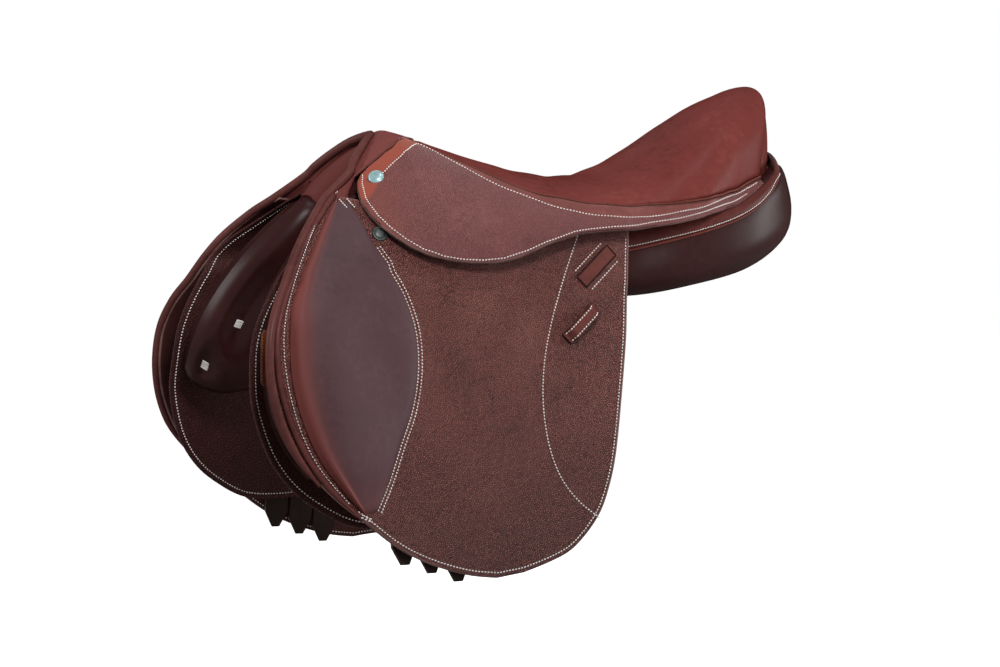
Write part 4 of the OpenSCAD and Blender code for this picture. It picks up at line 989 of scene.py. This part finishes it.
footFalloffShade = dict(most=0.75, begins=0.3, run=0.65)  # painted shade: the colour darkens towards the foot, where less light falls
flapGrid = np.concatenate([flapTopGrid(14, 64), patchGrid(flapFront, flapBack, 76, 64)])
flapDown = -flapGrid[..., 1] / flap["drop"]
footShade = footFalloffShade["most"] * eased((flapDown - footFalloffShade["begins"]) / footFalloffShade["run"])
backEdge = alongPoints(inFlap(flapBack), np.linspace(0, 1, 90))
flapRim = np.concatenate([alongPoints(inFlap(flapFront), np.linspace(0.62, 1, 40)), backEdge[::-1]])
for side in sides:
    piece = leatherSheet(side + "Flap", flapPatch(flapGrid, flapOut),
                         flapPatch(flapGrid, flapOut, -flap["thick"]),
                         [flapLeather, liningLeather, edgePaint], side)
    tintBorder(piece, footShade)
    bendWithFlap(piece)
    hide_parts(side + "_flap_top", side + "_flap")
print("flaps made")

# knee pads: smooth padded inserts, sewn round their edge
kneePad = dict(crown=0.008, edge=0.0016, seamRise=0.0018, rollHigh=0.0034, rollAt=0.055,
               rollWide=0.042, under=0.0001, fill=0.75)
padRedParts = dict(front=0.9, frontWide=0.13, foot=0.25, footWide=0.12)  # the leather's own red at its front and foot; elsewhere its grey-purple is a painted sheen
padFront = [(-0.4525, -0.01), (-0.496, -0.095), (-0.521, -0.214), (-0.531, -0.337),
            (-0.521, -0.463), (-0.494, -0.575), (-0.45, -0.677), (-0.414, -0.742)]
padBack = [(-0.225, -0.01), (-0.2025, -0.095), (-0.1925, -0.204), (-0.205, -0.323),
           (-0.2375, -0.442), (-0.2825, -0.544), (-0.33, -0.65), (-0.378, -0.738)]
padTopFront = [(-0.284, 0.375), (-0.335, 0.275), (-0.391, 0.15), (-0.445, 0.015)]
padTopBack = [(-0.255, 0.36), (-0.252, 0.235), (-0.245, 0.1176), (-0.225, 0.0147)]
padGrid = np.concatenate([patchGrid(padTopFront, padTopBack, 18, 36, dome["cantleH"]),
                          patchGrid(padFront, padBack, 54, 36)])
rowShare = np.linspace(0, 1, len(padGrid))[:, None]
colShare = np.linspace(0, 1, padGrid.shape[1])[None]
puffed = 1 - np.abs(2 * colShare - 1) ** 3
lower = eased((rowShare - 0.06) / 0.32) * eased((1 - rowShare) / 0.2)
sewn = np.minimum(np.minimum(colShare, 1 - colShare) * 14, np.minimum(rowShare, 1 - rowShare) * 30)
rolledEdge = (kneePad["rollHigh"] * bell(colShare, kneePad["rollAt"], kneePad["rollWide"])
              * eased(rowShare * 8) * eased((1 - rowShare) * 8))
padHeight = (kneePad["edge"] + kneePad["seamRise"] * eased(sewn) ** 0.5
             + kneePad["crown"] * puffed * lower + rolledEdge)
redder = (padRedParts["front"] * bell(colShare, 0, padRedParts["frontWide"])
          + padRedParts["foot"] * bell(rowShare, 1, padRedParts["footWide"]))
for side in sides:
    piece = leatherSheet(side + "KneePad", flapPatch(padGrid, flapOut, padHeight),
                         flapPatch(padGrid, flapOut, kneePad["under"]),
                         [padSheenLeather, liningLeather, padSheenLeather], side, 0.6)
    tintBorder(piece, redder, rest=1)
    bendWithFlap(piece)
    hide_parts(side + "_knee_pad_top", side + "_knee_pad")
print("knee pads made")

# a rolled binding runs from the arch down the flap's front edge, with a thinner roll behind it
binding = dict(radius=0.0041, sink=0.0015, forward=0.005, archFrom=-0.012, archEnd=0.29, out=0.0003,
               line=[(-0.1174, 0.0817), (-0.1365, 0.0658), (-0.161, 0.042), (-0.179, 0.0205),
                     (-0.1953, -0.0029), (-0.2117, -0.0258), (-0.2249, -0.0533), (-0.2316, -0.0884),
                     (-0.2301, -0.1248), (-0.2207, -0.157), (-0.203, -0.188)])
thinRoll = dict(radius=0.003, out=0.001,
                line=[(-0.11, 0.0822), (-0.1262, 0.0691), (-0.1497, 0.0481), (-0.171, 0.0238),
                      (-0.1883, -0.0015), (-0.2063, -0.0267), (-0.2186, -0.0538), (-0.224, -0.0898),
                      (-0.2216, -0.1257), (-0.2114, -0.1603), (-0.194, -0.1921), (-0.168, -0.224)])
rollTaper = dict(points=14, least=0.2, power=0.6)  # both thin out at the foot
archTurns = np.linspace(binding["archFrom"], binding["archEnd"], 8)
archPath = domePoint(capFront(archTurns), archTurns, binding["sink"])
archPath[:, 0] -= binding["forward"] + archFurther(archTurns) * dome["length"]


def rollPath(roll, ahead=()):
    path = flapPatch(np.array(roll["line"]), flapOut, roll["out"])
    path = np.concatenate([*ahead, path])
    return evenly(alongPoints(path, np.linspace(0, 1, 300)))


def rollPiece(name, path, radius, side):
    fromFoot = np.arange(len(path))[::-1] / rollTaper["points"]
    thin = np.clip(fromFoot, rollTaper["least"], 1) ** rollTaper["power"]
    up = np.broadcast_to((-0.3, -1.0, 0.45), path.shape)
    rings = ringsAlong(path, roundProfile(radius, 16), up)
    rings = path[:, None] + (rings - path[:, None]) * thin[:, None, None]
    return loftPiece(name, rings, [bindingLeather], side)


bindingPath, thinPath = rollPath(binding, [archPath]), rollPath(thinRoll)
for side in sides:
    piece = rollPiece(side + "Binding", bindingPath, binding["radius"], side)
    bendWithFlap(piece)
    acrossArch = ["pommel_binding"] if side == "near" else []
    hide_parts(side + "_front_roll_top", side + "_front_roll", *acrossArch)
    piece = rollPiece(side + "ThinRoll", thinPath, thinRoll["radius"], side)
    bendWithFlap(piece)
print("binding and rolls made")

# lining inside the arch, sewn to the binding
arch = dict(turn=0.7, thick=0.0015, inner=0.003, sewn=(0.0015, 0, 0.001), clear=0.008, clearAt=0.33,
            clearRun=0.1, inward=[(-0.002, 0.003), (-0.004, 0.012), (0.002, 0.023), (0.018, 0.032),
                                  (0.045, 0.037), (0.085, 0.039)])
archTurns = np.linspace(-arch["turn"], arch["turn"], 70)
u, t = np.meshgrid(archTurns, np.linspace(0, 1, 22), indexing="ij")
inward = alongPoints(arch["inward"], t)
overSkirt = eased((np.abs(u) - arch["clearAt"]) / arch["clearRun"])
inward[..., 1] += arch["clear"] * overSkirt  # clear of the skirt's front edge
archShare = capFront(np.clip(u, -pommel["turn"], pommel["turn"])) - archFurther(u) + inward[..., 0]
archOuter = domePoint(archShare, u, inward[..., 1])
archInner = domePoint(archShare + arch["inner"], u, inward[..., 1] - arch["thick"])
fromFoot = bindingPath[::-1]
sewnOn = readOff(archOuter[:, 0, 2], fromFoot[:, 2], fromFoot)  # the binding at the same height
sewnOn[:, 1] *= np.sign(u[:, 0])
share = np.linspace(0, 1, 6)[None, :-1, None]
outerHem = mixed(sewnOn[:, None], archOuter[:, :1], share)
innerHem = mixed(sewnOn[:, None] + arch["sewn"], archInner[:, :1], share)
piece = leatherSheet("archLining", np.concatenate([outerHem, archOuter], 1),
                     np.concatenate([innerHem, archInner], 1), [archLeather])
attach(piece, "saddle")

# keepers: a flush patch with a pressed crease round it, and a raised loop below it; the crease cord
# and the edges of both are dark as a painted shade
keeper = dict(length=0.046, width=0.013, thick=0.0024, gap=0.005, foot=0.003, ramp=0.006, slant=35,
              patchAt=(0.302, -0.078), loopAt=(0.23, -0.255), proud=0.0007, sunk=0.0004,
              under=0.0002, creaseShade=0.0008, creaseUp=0.0005)
slant = math.radians(keeper["slant"])
keeperX = np.array((math.cos(slant), math.sin(slant)))
keeperZ = np.array((-math.sin(slant), math.cos(slant)))
half, wide = keeper["length"] / 2, keeper["width"] / 2


def keeperGrid(place, along, across):
    a, c = np.meshgrid(along, across, indexing="ij")
    return inFlap(place) + a[..., None] * keeperX + c[..., None] * keeperZ


def bridgeRise(along):
    return keeper["gap"] * eased((half - np.abs(along) - keeper["foot"]) / keeper["ramp"])


for side in sides:
    grid = keeperGrid(keeper["patchAt"], np.linspace(-half, half, 30), np.linspace(-wide, wide, 12))
    piece = leatherSheet(side + "KeeperPatch", flapPatch(grid, flapOut, keeper["proud"]),
                         flapPatch(grid, flapOut, -keeper["sunk"]),
                         [keeperLeather, liningLeather, keeperShadeLeather], side, 0.4)
    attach(piece, side + "_flap_body")
    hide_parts(side + "_keeper_strip")
    edges = (grid[0], grid[:, -1], grid[-1, ::-1], grid[::-1, 0])
    outline = np.concatenate([evenly(edge, 0.002)[:-1] for edge in edges])
    outline = np.concatenate([outline, outline[:2]])
    piece = cordTube(side + "KeeperCrease", flapPatch(outline, flapOut, keeper["creaseUp"]),
                     keeper["creaseShade"], keeperShadeLeather, side, flapN)
    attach(piece, side + "_flap_body")
    bridge = np.linspace(-half, half, 48)
    grid = keeperGrid(keeper["loopAt"], bridge, np.linspace(-wide, wide, 12))
    rise = bridgeRise(bridge)[:, None]
    piece = leatherSheet(side + "KeeperLoop", flapPatch(grid, flapOut, rise + keeper["thick"]),
                         flapPatch(grid, flapOut, rise + keeper["under"]),
                         [keeperLeather, liningLeather, keeperShadeLeather], side, 0.5)
    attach(piece, side + "_flap_body")
    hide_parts(side + "_keeper_loop")
print("keepers made")

# thread on the flaps: the rim on both faces, the curve, the pad, beside the roll, and the keepers
flapThread = dict(doubleGap=0.0036, padOut=0.0012, beadRadius=0.0005, tackLift=0.003,
                  patchOut=0.0052, loopIn=0.0022,
                  bead=[(-0.1043, 0.0862), (-0.1187, 0.0765), (-0.1325, 0.0654), (-0.159, 0.0369),
                        (-0.1904, -0.0084), (-0.2099, -0.0458), (-0.2165, -0.0906),
                        (-0.2129, -0.1359), (-0.2001, -0.1733), (-0.1776, -0.2079)],
                  tacks=[((-0.109, 0.077), (-0.1075, 0.065)), ((-0.1015, 0.0765), (-0.1, 0.0645)),
                         ((-0.1705, -0.2205), (-0.1605, -0.2262)),
                         ((-0.169, -0.2185), (-0.159, -0.2242))])
beadRise = dict(low=0.0006, high=0.0038, begins=-0.03, run=0.04)  # at its top it is on the pad
beadLine = evenly(alongPoints(flapThread["bead"], np.linspace(0, 1, 120)))
beadLift = mixed(beadRise["low"], beadRise["high"],
                 eased((beadLine[:, 1] - beadRise["begins"]) / beadRise["run"]))
padBackLine = np.concatenate([
    alongPoints(inFlap(padTopBack, dome["cantleH"]), np.linspace(0.7, 0.98, 12)),
    alongPoints(inFlap(padBack), np.linspace(0, 1, 70))])
rimLine = insetLine(flapRim, flapStitch["inset"])
rimBehind = flapPatch(evenly(rimLine), flapOut, -flap["thick"])
along = np.linspace(-half * 0.9, half * 0.9, 40)
padOut, padOutAgain = flapThread["padOut"], flapThread["padOut"] + flapThread["doubleGap"]
rows = [flapStitches(rimLine, flapOut),
        flapStitches(alongPoints(flapStitch["curve"], np.linspace(0, 1, 90)), flapOut),
        flapStitches(insetLine(padBackLine, padOut), flapOut),
        flapStitches(insetLine(padBackLine, padOutAgain), flapOut),
        stitchGrains(flapPatch(beadLine, flapOut, beadLift), flapNormal(*beadLine.T, flapOut),
                     radius=flapThread["beadRadius"])]
for tack in flapThread["tacks"]:
    rows.append(flapStitches(np.array(tack), flapOut, flapThread["tackLift"]))
rows.append(stitchGrains(rimBehind, np.broadcast_to(-flapN, rimBehind.shape)))
for way in (-1, 1):
    edge = np.array([way * (wide + flapThread["patchOut"])])
    rows.append(flapStitches(keeperGrid(keeper["patchAt"], along, edge)[:, 0], flapOut))
for way in (-1, 1):
    edge = np.array([way * (wide - flapThread["loopIn"])])
    line = keeperGrid(keeper["loopAt"], along, edge)[:, 0]
    path = flapWorld(line[:, 0], line[:, 1], keeper["thick"] + bridgeRise(along))
    rows.append(stitchGrains(path, np.broadcast_to(flapN, path.shape)))
for side in sides:
    piece = stitchPiece(side + "FlapStitch", rows, paleThread, side)
    bendWithFlap(piece)
print("flap thread made")

# sweat flaps under the flaps, with a sewn edge
sweat = dict(thick=0.004, stitch=0.0055, tabHalf=0.0048, tabThick=0.0014, tabUnder=0.0001,
             tabStep=0.0015, tabStitch=0.00045,
             tab=[(-0.206, -0.036), (-0.2105, -0.06), (-0.2155, -0.086)])
sweatFront = [(-0.2375, 0.306), (-0.33, 0.204), (-0.41, 0.122), (-0.484, 0.009), (-0.543, -0.119),
              (-0.57, -0.2515), (-0.579, -0.36), (-0.564, -0.504), (-0.526, -0.615), (-0.468, -0.7),
              (-0.4, -0.765), (-0.31, -0.795), (-0.21, -0.803)]
sweatBack = [(0.27, 0.082), (0.265, 0.051), (0.26, 0.017), (0.25, -0.03), (0.235, -0.102),
             (0.21, -0.204), (0.18, -0.306), (0.145, -0.425), (0.11, -0.55), (0.07, -0.65),
             (0.02, -0.725), (-0.05, -0.775), (-0.125, -0.793)]
sweatTop = [(-0.2375, 0.306), (-0.2, 0.2), (-0.16, 0.13), (-0.1, 0.09), (0, 0.075), (0.1, 0.078),
            (0.2, 0.081), (0.27, 0.082)]
sweatGrid = patchGrid(sweatFront, sweatBack, 80, 50)
fade = (1 - np.linspace(0, 1, 81)) ** 4
topRow = alongPoints(inFlap(sweatTop), np.linspace(0, 1, 51))
sweatGrid = sweatGrid + (topRow - sweatGrid[0])[None] * fade[:, None, None]
sweatLine = np.concatenate([alongPoints(inFlap(sweatFront), np.linspace(0.03, 1, 120)),
                            alongPoints(inFlap(sweatBack), np.linspace(1, 0.3, 80))])
for side in sides:
    piece = leatherSheet(side + "SweatFlap", flapPatch(sweatGrid, sweatOut),
                         flapPatch(sweatGrid, sweatOut, -sweat["thick"]), [sweatLeather], side)
    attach(piece, "saddle")
    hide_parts(side + "_sweat_flap")
    line = evenly(insetLine(sweatLine, sweat["stitch"]))
    x, z = line[:, 0], line[:, 1]
    normal = flapNormal(x, z, sweatOut)
    rows = [stitchGrains(flapWorld(x, z, sweatOut(x, z)), normal),
            stitchGrains(flapWorld(x, z, sweatOut(x, z) - sweat["thick"]), -normal)]
    piece = stitchPiece(side + "SweatStitch", rows, paleThread, side)
    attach(piece, "saddle")
    spine = evenly(alongPoints(sweat["tab"], np.linspace(0, 1, 40)), sweat["tabStep"])
    fromEnd = np.minimum(np.arange(len(spine)), np.arange(len(spine))[::-1]) * sweat["tabStep"]
    nib = np.clip(fromEnd / sweat["tabHalf"], 0.15, 1)
    wideAt = (sweat["tabHalf"] * np.sqrt(1 - (1 - nib) ** 2))[:, None]
    sideways = insetLine(spine, 1.0) - spine
    grid = spine[:, None] + (np.linspace(-1, 1, 9)[None] * wideAt)[..., None] * sideways[:, None]
    piece = leatherSheet(side + "SweatTab", flapPatch(grid, sweatOut, sweat["tabThick"]),
                         flapPatch(grid, sweatOut, sweat["tabUnder"]),
                         [tabLeather, liningLeather, edgePaint], side)
    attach(piece, "saddle")
    rows = [flapStitches((spine + way * sideways * wideAt * 0.7)[3:-3], sweatOut, sweat["tabThick"],
                         radius=sweat["tabStitch"]) for way in (-1, 1)]
    piece = stitchPiece(side + "TabStitch", rows, tanThread, side)
    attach(piece, "saddle")

# knee and thigh blocks, soft and sewn to the sweat flaps
blocks = dict(fill=0.8, under=0.001, least=0.002, clear=0.0027, thighThick=0.011, thighUnder=0.0002,
              thighLift=0.0004)
kneeFront = [(-0.465, -0.045), (-0.52, -0.15), (-0.55, -0.27), (-0.555, -0.38), (-0.535, -0.49),
             (-0.49, -0.6)]
kneeBack = [(-0.405, -0.045), (-0.41, -0.15), (-0.42, -0.27), (-0.425, -0.38), (-0.43, -0.49),
            (-0.435, -0.6)]
thighFront = [(0.07, -0.17), (0.05, -0.25), (0.03, -0.35), (0.01, -0.45), (0, -0.55)]
thighBack = [(0.17, -0.19), (0.16, -0.27), (0.13, -0.36), (0.1, -0.45), (0.06, -0.53)]
for side in sides:
    grid = patchGrid(kneeFront, kneeBack, 40, 16)
    i, j = np.linspace(0, 1, 41)[:, None], np.linspace(0, 1, 17)[None]
    x, z = grid[..., 0], grid[..., 1]
    low = sweatOut(x, z) + blocks["under"]
    thin = low + blocks["least"]
    high = np.maximum(flapOut(x, z) - flap["thick"] - blocks["clear"], thin)
    swell = eased(6 * i) * eased(6 * (1 - i)) * eased(3 * (1 - j))
    tall = mixed(thin, high, mixed(0.35, 1, swell))
    piece = leatherSheet(side + "KneeBlock", flapWorld(x, z, tall), flapWorld(x, z, low),
                         [blockLeather], side, 0.5)
    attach(piece, "saddle")
    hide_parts(side + "_knee_block")
    grid = patchGrid(thighFront, thighBack, 32, 16)
    i, j = np.linspace(0, 1, 33)[:, None], np.linspace(0, 1, 17)[None]
    swell = eased(3 * i) * eased(3 * (1 - i)) * eased(3 * j) * eased(4 * (1 - j))
    tall = blocks["thighLift"] + blocks["thighThick"] * mixed(0.3, 1, swell)
    piece = leatherSheet(side + "ThighBlock", flapPatch(grid, sweatOut, tall),
                         flapPatch(grid, sweatOut, blocks["thighUnder"]), [blockLeather], side, 0.5)
    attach(piece, "saddle")
    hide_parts(side + "_thigh_block")
print("sweat flaps and blocks made")

# the panels themselves
for side in sides:
    piece = loftPiece(side + "Panel", panelRings, [panelLeather], side)
    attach(piece, "saddle")
    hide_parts(side + "_panel")
    rows = []
    for at, around in panel["tufts"]:
        spot = panelPoint(at, around)
        ahead = panelPoint(at, around + 2) - panelPoint(at, around - 2)
        onward = panelPoint(at + 0.004, around) - panelPoint(at - 0.004, around)
        normal = unit(np.cross(onward, ahead))
        normal = normal if normal[1] > 0 else -normal
        length = np.linspace(-0.5, 0.5, 5)[:, None] * panel["tie"] * unit(onward)
        for strand in (-1.5, -0.5, 0.5, 1.5):
            line = spot + length + strand * panel["strands"] * unit(ahead)
            normals = np.broadcast_to(normal, line.shape)
            rows.append(stitchGrains(line, normals, pitch=0.02, fill=1.0, radius=0.0014, slant=4))
    piece = stitchPiece(side + "PanelTies", rows, paleThread, side)
    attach(piece, "saddle")
print("panels made")

# facing bands on the rear panels under the skirts and round the back of the cantle, sewn and welted
facing = dict(
    thick=0.003, crown=0.003, lift=0.0008, welt=0.0012, weltOut=0.0006, tuck=0.007, rowAt=0.84,
    rowOut=0.0021, pitch=0.0029, stitch=0.0005,
    upper=[(0.03, -0.1055, 0.0485), (0.0525, -0.1061, 0.0515), (0.0901, -0.1058, 0.0576),
           (0.1276, -0.102, 0.065), (0.1652, -0.0927, 0.0762), (0.196, -0.0813, 0.0903),
           (0.2152, -0.0704, 0.1032), (0.2242, -0.0614, 0.1123), (0.2311, -0.0458, 0.1205),
           (0.2365, -0.026, 0.1265), (0.2395, 0.0, 0.129)],
    lower=[(0.03, -0.1101, 0.0345), (0.0518, -0.1106, 0.038), (0.088, -0.1103, 0.0456),
           (0.1257, -0.1059, 0.0542), (0.1634, -0.0964, 0.0651), (0.1904, -0.087, 0.0771),
           (0.2107, -0.0772, 0.0916), (0.2228, -0.0684, 0.1043), (0.2305, -0.052, 0.1125),
           (0.2375, -0.03, 0.118), (0.2412, 0.0, 0.12)])
upperLine, lowerLine = (alongPoints(facing[edge], np.linspace(0, 1, 130))
                        for edge in ("upper", "lower"))
t = np.linspace(0, 1, 14)[None, :, None]
bandSlope = unit(np.gradient(lowerLine, axis=0))
bandDown = unit(lowerLine - upperLine)
bandOut = unit(np.cross(bandDown, bandSlope))
bandOut = np.where(np.sum(bandOut * (0.6, -1.0, 0.0), axis=1, keepdims=True) < 0, -bandOut, bandOut)
tucked = upperLine - facing["tuck"] * bandDown  # its top lies under the skirt
bandMid = mixed(tucked[:, None], lowerLine[:, None], t) + facing["lift"] * bandOut[:, None]
bandOuter = bandMid + facing["crown"] * np.sin(np.pi * t) ** 0.7 * bandOut[:, None]
bandInner = bandMid - facing["thick"] * bandOut[:, None]
stitchRow = mixed(upperLine, lowerLine, facing["rowAt"])
stitchRow = stitchRow + (facing["lift"] + facing["rowOut"]) * bandOut
weltLine = lowerLine + 0.8 * facing["welt"] * bandDown + facing["weltOut"] * bandOut
facingRow = stitchGrains(stitchRow, bandOut, pitch=facing["pitch"], radius=facing["stitch"])
for side in sides:
    piece = leatherSheet(side + "PanelFacing", bandOuter, bandInner,
                         [facingLeather, liningLeather], side, 0.3)
    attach(piece, "saddle")
    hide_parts(side + "_panel_facing")
    piece = cordTube(side + "FacingWelt", weltLine, facing["welt"], weltLeather, side)
    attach(piece, "saddle")
    piece = stitchPiece(side + "FacingStitch", [facingRow], paleThread, side)
    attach(piece, "saddle")

# lining of the gullet between the panels
gullet = dict(half=0.046, sag=0.009, thick=0.002)
gulletShares = [(-0.43, 0.56), (-0.355, 0.504), (-0.3, 0.48), (-0.15, 0.4), (0, 0.36),
                (0.15, 0.385), (0.3, 0.45), (0.45, 0.53), (0.575, 0.565)]
v, s = np.meshgrid(np.linspace(-1, 1, 25), np.linspace(-0.43, 0.575, 80), indexing="ij")
gulletWide = gullet["half"] * mixed(1, 0.5, eased((s - 0.25) / 0.25))  # narrower towards the cantle
lining = np.stack([s * dome["length"], -v * gulletWide,
                   dome["cantleH"] * lookUp(gulletShares, s) - gullet["sag"] * v * v], -1)
piece = leatherSheet("gulletLining", lining, lining - (0, 0, gullet["thick"]), [liningLeather])
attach(piece, "saddle")
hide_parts("gullet_lining")
print("facings and lining made")

# studs: turned caps with a raised lip and a plain face
stud = dict(radius=0.0075, high=0.003, lift=0.0003, count=56, skirtAt=(-0.504, 0.385),
            flapAt=(-0.0888, 0.0338), level=0.45, outward=(-0.2, -1.0, 0.0))
studProfile = np.array([
    (1.0, 0.0), (1.0, 0.28), (0.985, 0.4), (0.94, 0.56), (0.88, 0.66), (0.83, 0.68), (0.79, 0.62),
    (0.75, 0.66), (0.66, 0.8), (0.5, 0.92), (0.3, 0.99), (0.12, 1.0)])
onSkirtCorner, onFlap = np.array(stud["skirtAt"]), np.array(stud["flapAt"])
# the flap stud's metal is a painted shade of the skirt stud's
studSpots = [("Skirt", domePoint(*onSkirtCorner), rakedNormal(*onSkirtCorner), studMetal),
             ("Flap", flapPatch(onFlap, flapOut), flapNormal(*onFlap, flapOut), shadedStudMetal)]
angle = np.linspace(0, 2 * math.pi, stud["count"], endpoint=False)[None, :, None]
r, h = (studProfile[:, k][:, None, None] for k in (0, 1))
for side in sides:
    for kind, place, outward, metal in studSpots:
        outward = unit(outward + stud["level"] * np.array(stud["outward"]))  # its thread levels it
        sideways = unit(np.cross(outward, (0.0, 0.0, 1.0)))
        level = np.cross(outward, sideways)
        rings = (place + outward * (stud["lift"] + stud["high"] * h)
                 + stud["radius"] * r * (np.cos(angle) * sideways + np.sin(angle) * level))
        piece = loftPiece(side + kind + "Stud", rings, [metal], side)
        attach(piece, "saddle")
        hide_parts(side + "_" + kind.lower() + "_stud")
print("studs made")

# solids that keep their own shape get a finish, and the straps a softer edge
finishes = {"billet": billetLeather, "stirrup_bar": steel, "bar_catch": steel,
            "head_plate": steel, "web": webbing, "tree": moulded}
billetEdge = dict(width=0.0008, segments=2)
for name, node in nodes.items():
    kind = next((part for part in finishes if part in name), None)
    if kind == "billet":
        bevel = node.modifiers.new("softEdge", "BEVEL")
        bevel.width, bevel.segments = billetEdge["width"], billetEdge["segments"]
        bevel.limit_method = "ANGLE"
    if kind:
        for place in node.material_slots:
            place.material = finishes[kind]
print("frame nodes finished")

# floor, world and lamps
ground = dict(high=-0.42, half=9)
half, high = ground["half"], ground["high"]
floorMesh = bpy.data.meshes.new("floor")
floorMesh.from_pydata([(-half, -half, high), (half, -half, high), (half, half, high),
                       (-half, half, high)], [], [(0, 1, 2, 3)])
floor = bpy.data.objects.new("floor", floorMesh)
scene.collection.objects.link(floor)


def seenRays(tree):
    rays = tree.nodes.new("ShaderNodeLightPath").outputs
    return rays["Is Camera Ray"], mathNode(tree, "MAXIMUM", rays["Is Glossy Ray"],
                                           rays["Is Transmission Ray"])


# close to the object the floor shows its light and shade, further off it is as white as the world
floorMaterial, tree, shader = newMaterial("paleFloor")
speck = addNode(tree, "TexNoise", Scale=6.0, Detail=3.0).outputs["Fac"]
setInputs(tree, shader, {"Base Color": rangeNode(tree, speck, 0.3, 0.7, 0.46, 0.5),
                         "Roughness": 0.9, "Specular IOR Level": 0.0})
away = operationNode(tree, "VectorMath", "LENGTH", objectPlace(tree))["Value"]
direct, mirrored = seenRays(tree)
shown = mathNode(tree, "MAXIMUM", direct,
                 mathNode(tree, "MULTIPLY", mirrored, rangeNode(tree, away, 0.6, 1.3)))
glow = addNode(tree, "Emission", Color=(1, 1, 1, 1), Strength=mathNode(
    tree, "MULTIPLY", shown, rangeNode(tree, away, 0.5, 1.2, 0.8, 1.0)))
cover = tree.nodes.new("ShaderNodeAddShader")
tree.links.new(shader.outputs[0], cover.inputs[0])
tree.links.new(glow.outputs[0], cover.inputs[1])
tree.links.new(cover.outputs[0], tree.nodes["Material Output"].inputs["Surface"])
floorMesh.materials.append(floorMaterial)

sky = dict(ambient=0.1, tint=(0.97, 0.98, 1.0, 1.0))
world = bpy.data.worlds.new("studio")
scene.world = world
world.use_nodes = True
tree = world.node_tree
ambient = setInputs(tree, tree.nodes["Background"],
                    dict(Color=sky["tint"], Strength=sky["ambient"]))
white = addNode(tree, "Background", Color=(1, 1, 1, 1), Strength=1.0)
choice = tree.nodes.new("ShaderNodeMixShader")
tree.links.new(mathNode(tree, "MAXIMUM", *seenRays(tree)), choice.inputs[0])
tree.links.new(ambient.outputs[0], choice.inputs[1])
tree.links.new(white.outputs[0], choice.inputs[2])
tree.links.new(choice.outputs[0], tree.nodes["World Output"].inputs["Surface"])

lamps = dict(
    key=dict(at=(-0.3, -1.05, 0.8), aim=(0.0, -0.12, 0.02), size=(0.34, 0.3), watts=12.3),
    overhead=dict(at=(0.15, -0.45, 1.3), aim=(0.0, -0.08, 0.0), size=(0.6, 0.22), watts=5),
    rearStrip=dict(at=(1.25, -0.42, 0.16), aim=(0.2, -0.08, 0.05), size=(0.2, 0.5), watts=8),
    frontRight=dict(at=(0.68, -1.35, 0.0), aim=(0.07, -0.11, 0.02), size=(0.14, 0.22), watts=1.5),
    frontLeft=dict(at=(-1.3, 0.12, 0.48), aim=(-0.28, 0.08, 0.0), size=(0.22, 0.35), watts=6),
    farSide=dict(at=(0.1, 1.7, 0.5), aim=(0.0, 0.1, -0.05), size=(1.0, 0.6), watts=14))
for name, lamp in lamps.items():
    data = bpy.data.lights.new(name, "AREA")
    data.shape, data.energy = "RECTANGLE", lamp["watts"]
    data.size, data.size_y = lamp["size"]
    light = bpy.data.objects.new(name, data)
    light.location = lamp["at"]
    light.rotation_mode = "QUATERNION"
    light.rotation_quaternion = (Vector(lamp["aim"]) - Vector(lamp["at"])).to_track_quat("-Z", "Y")
    scene.collection.objects.link(light)
print("stage and lamps made")
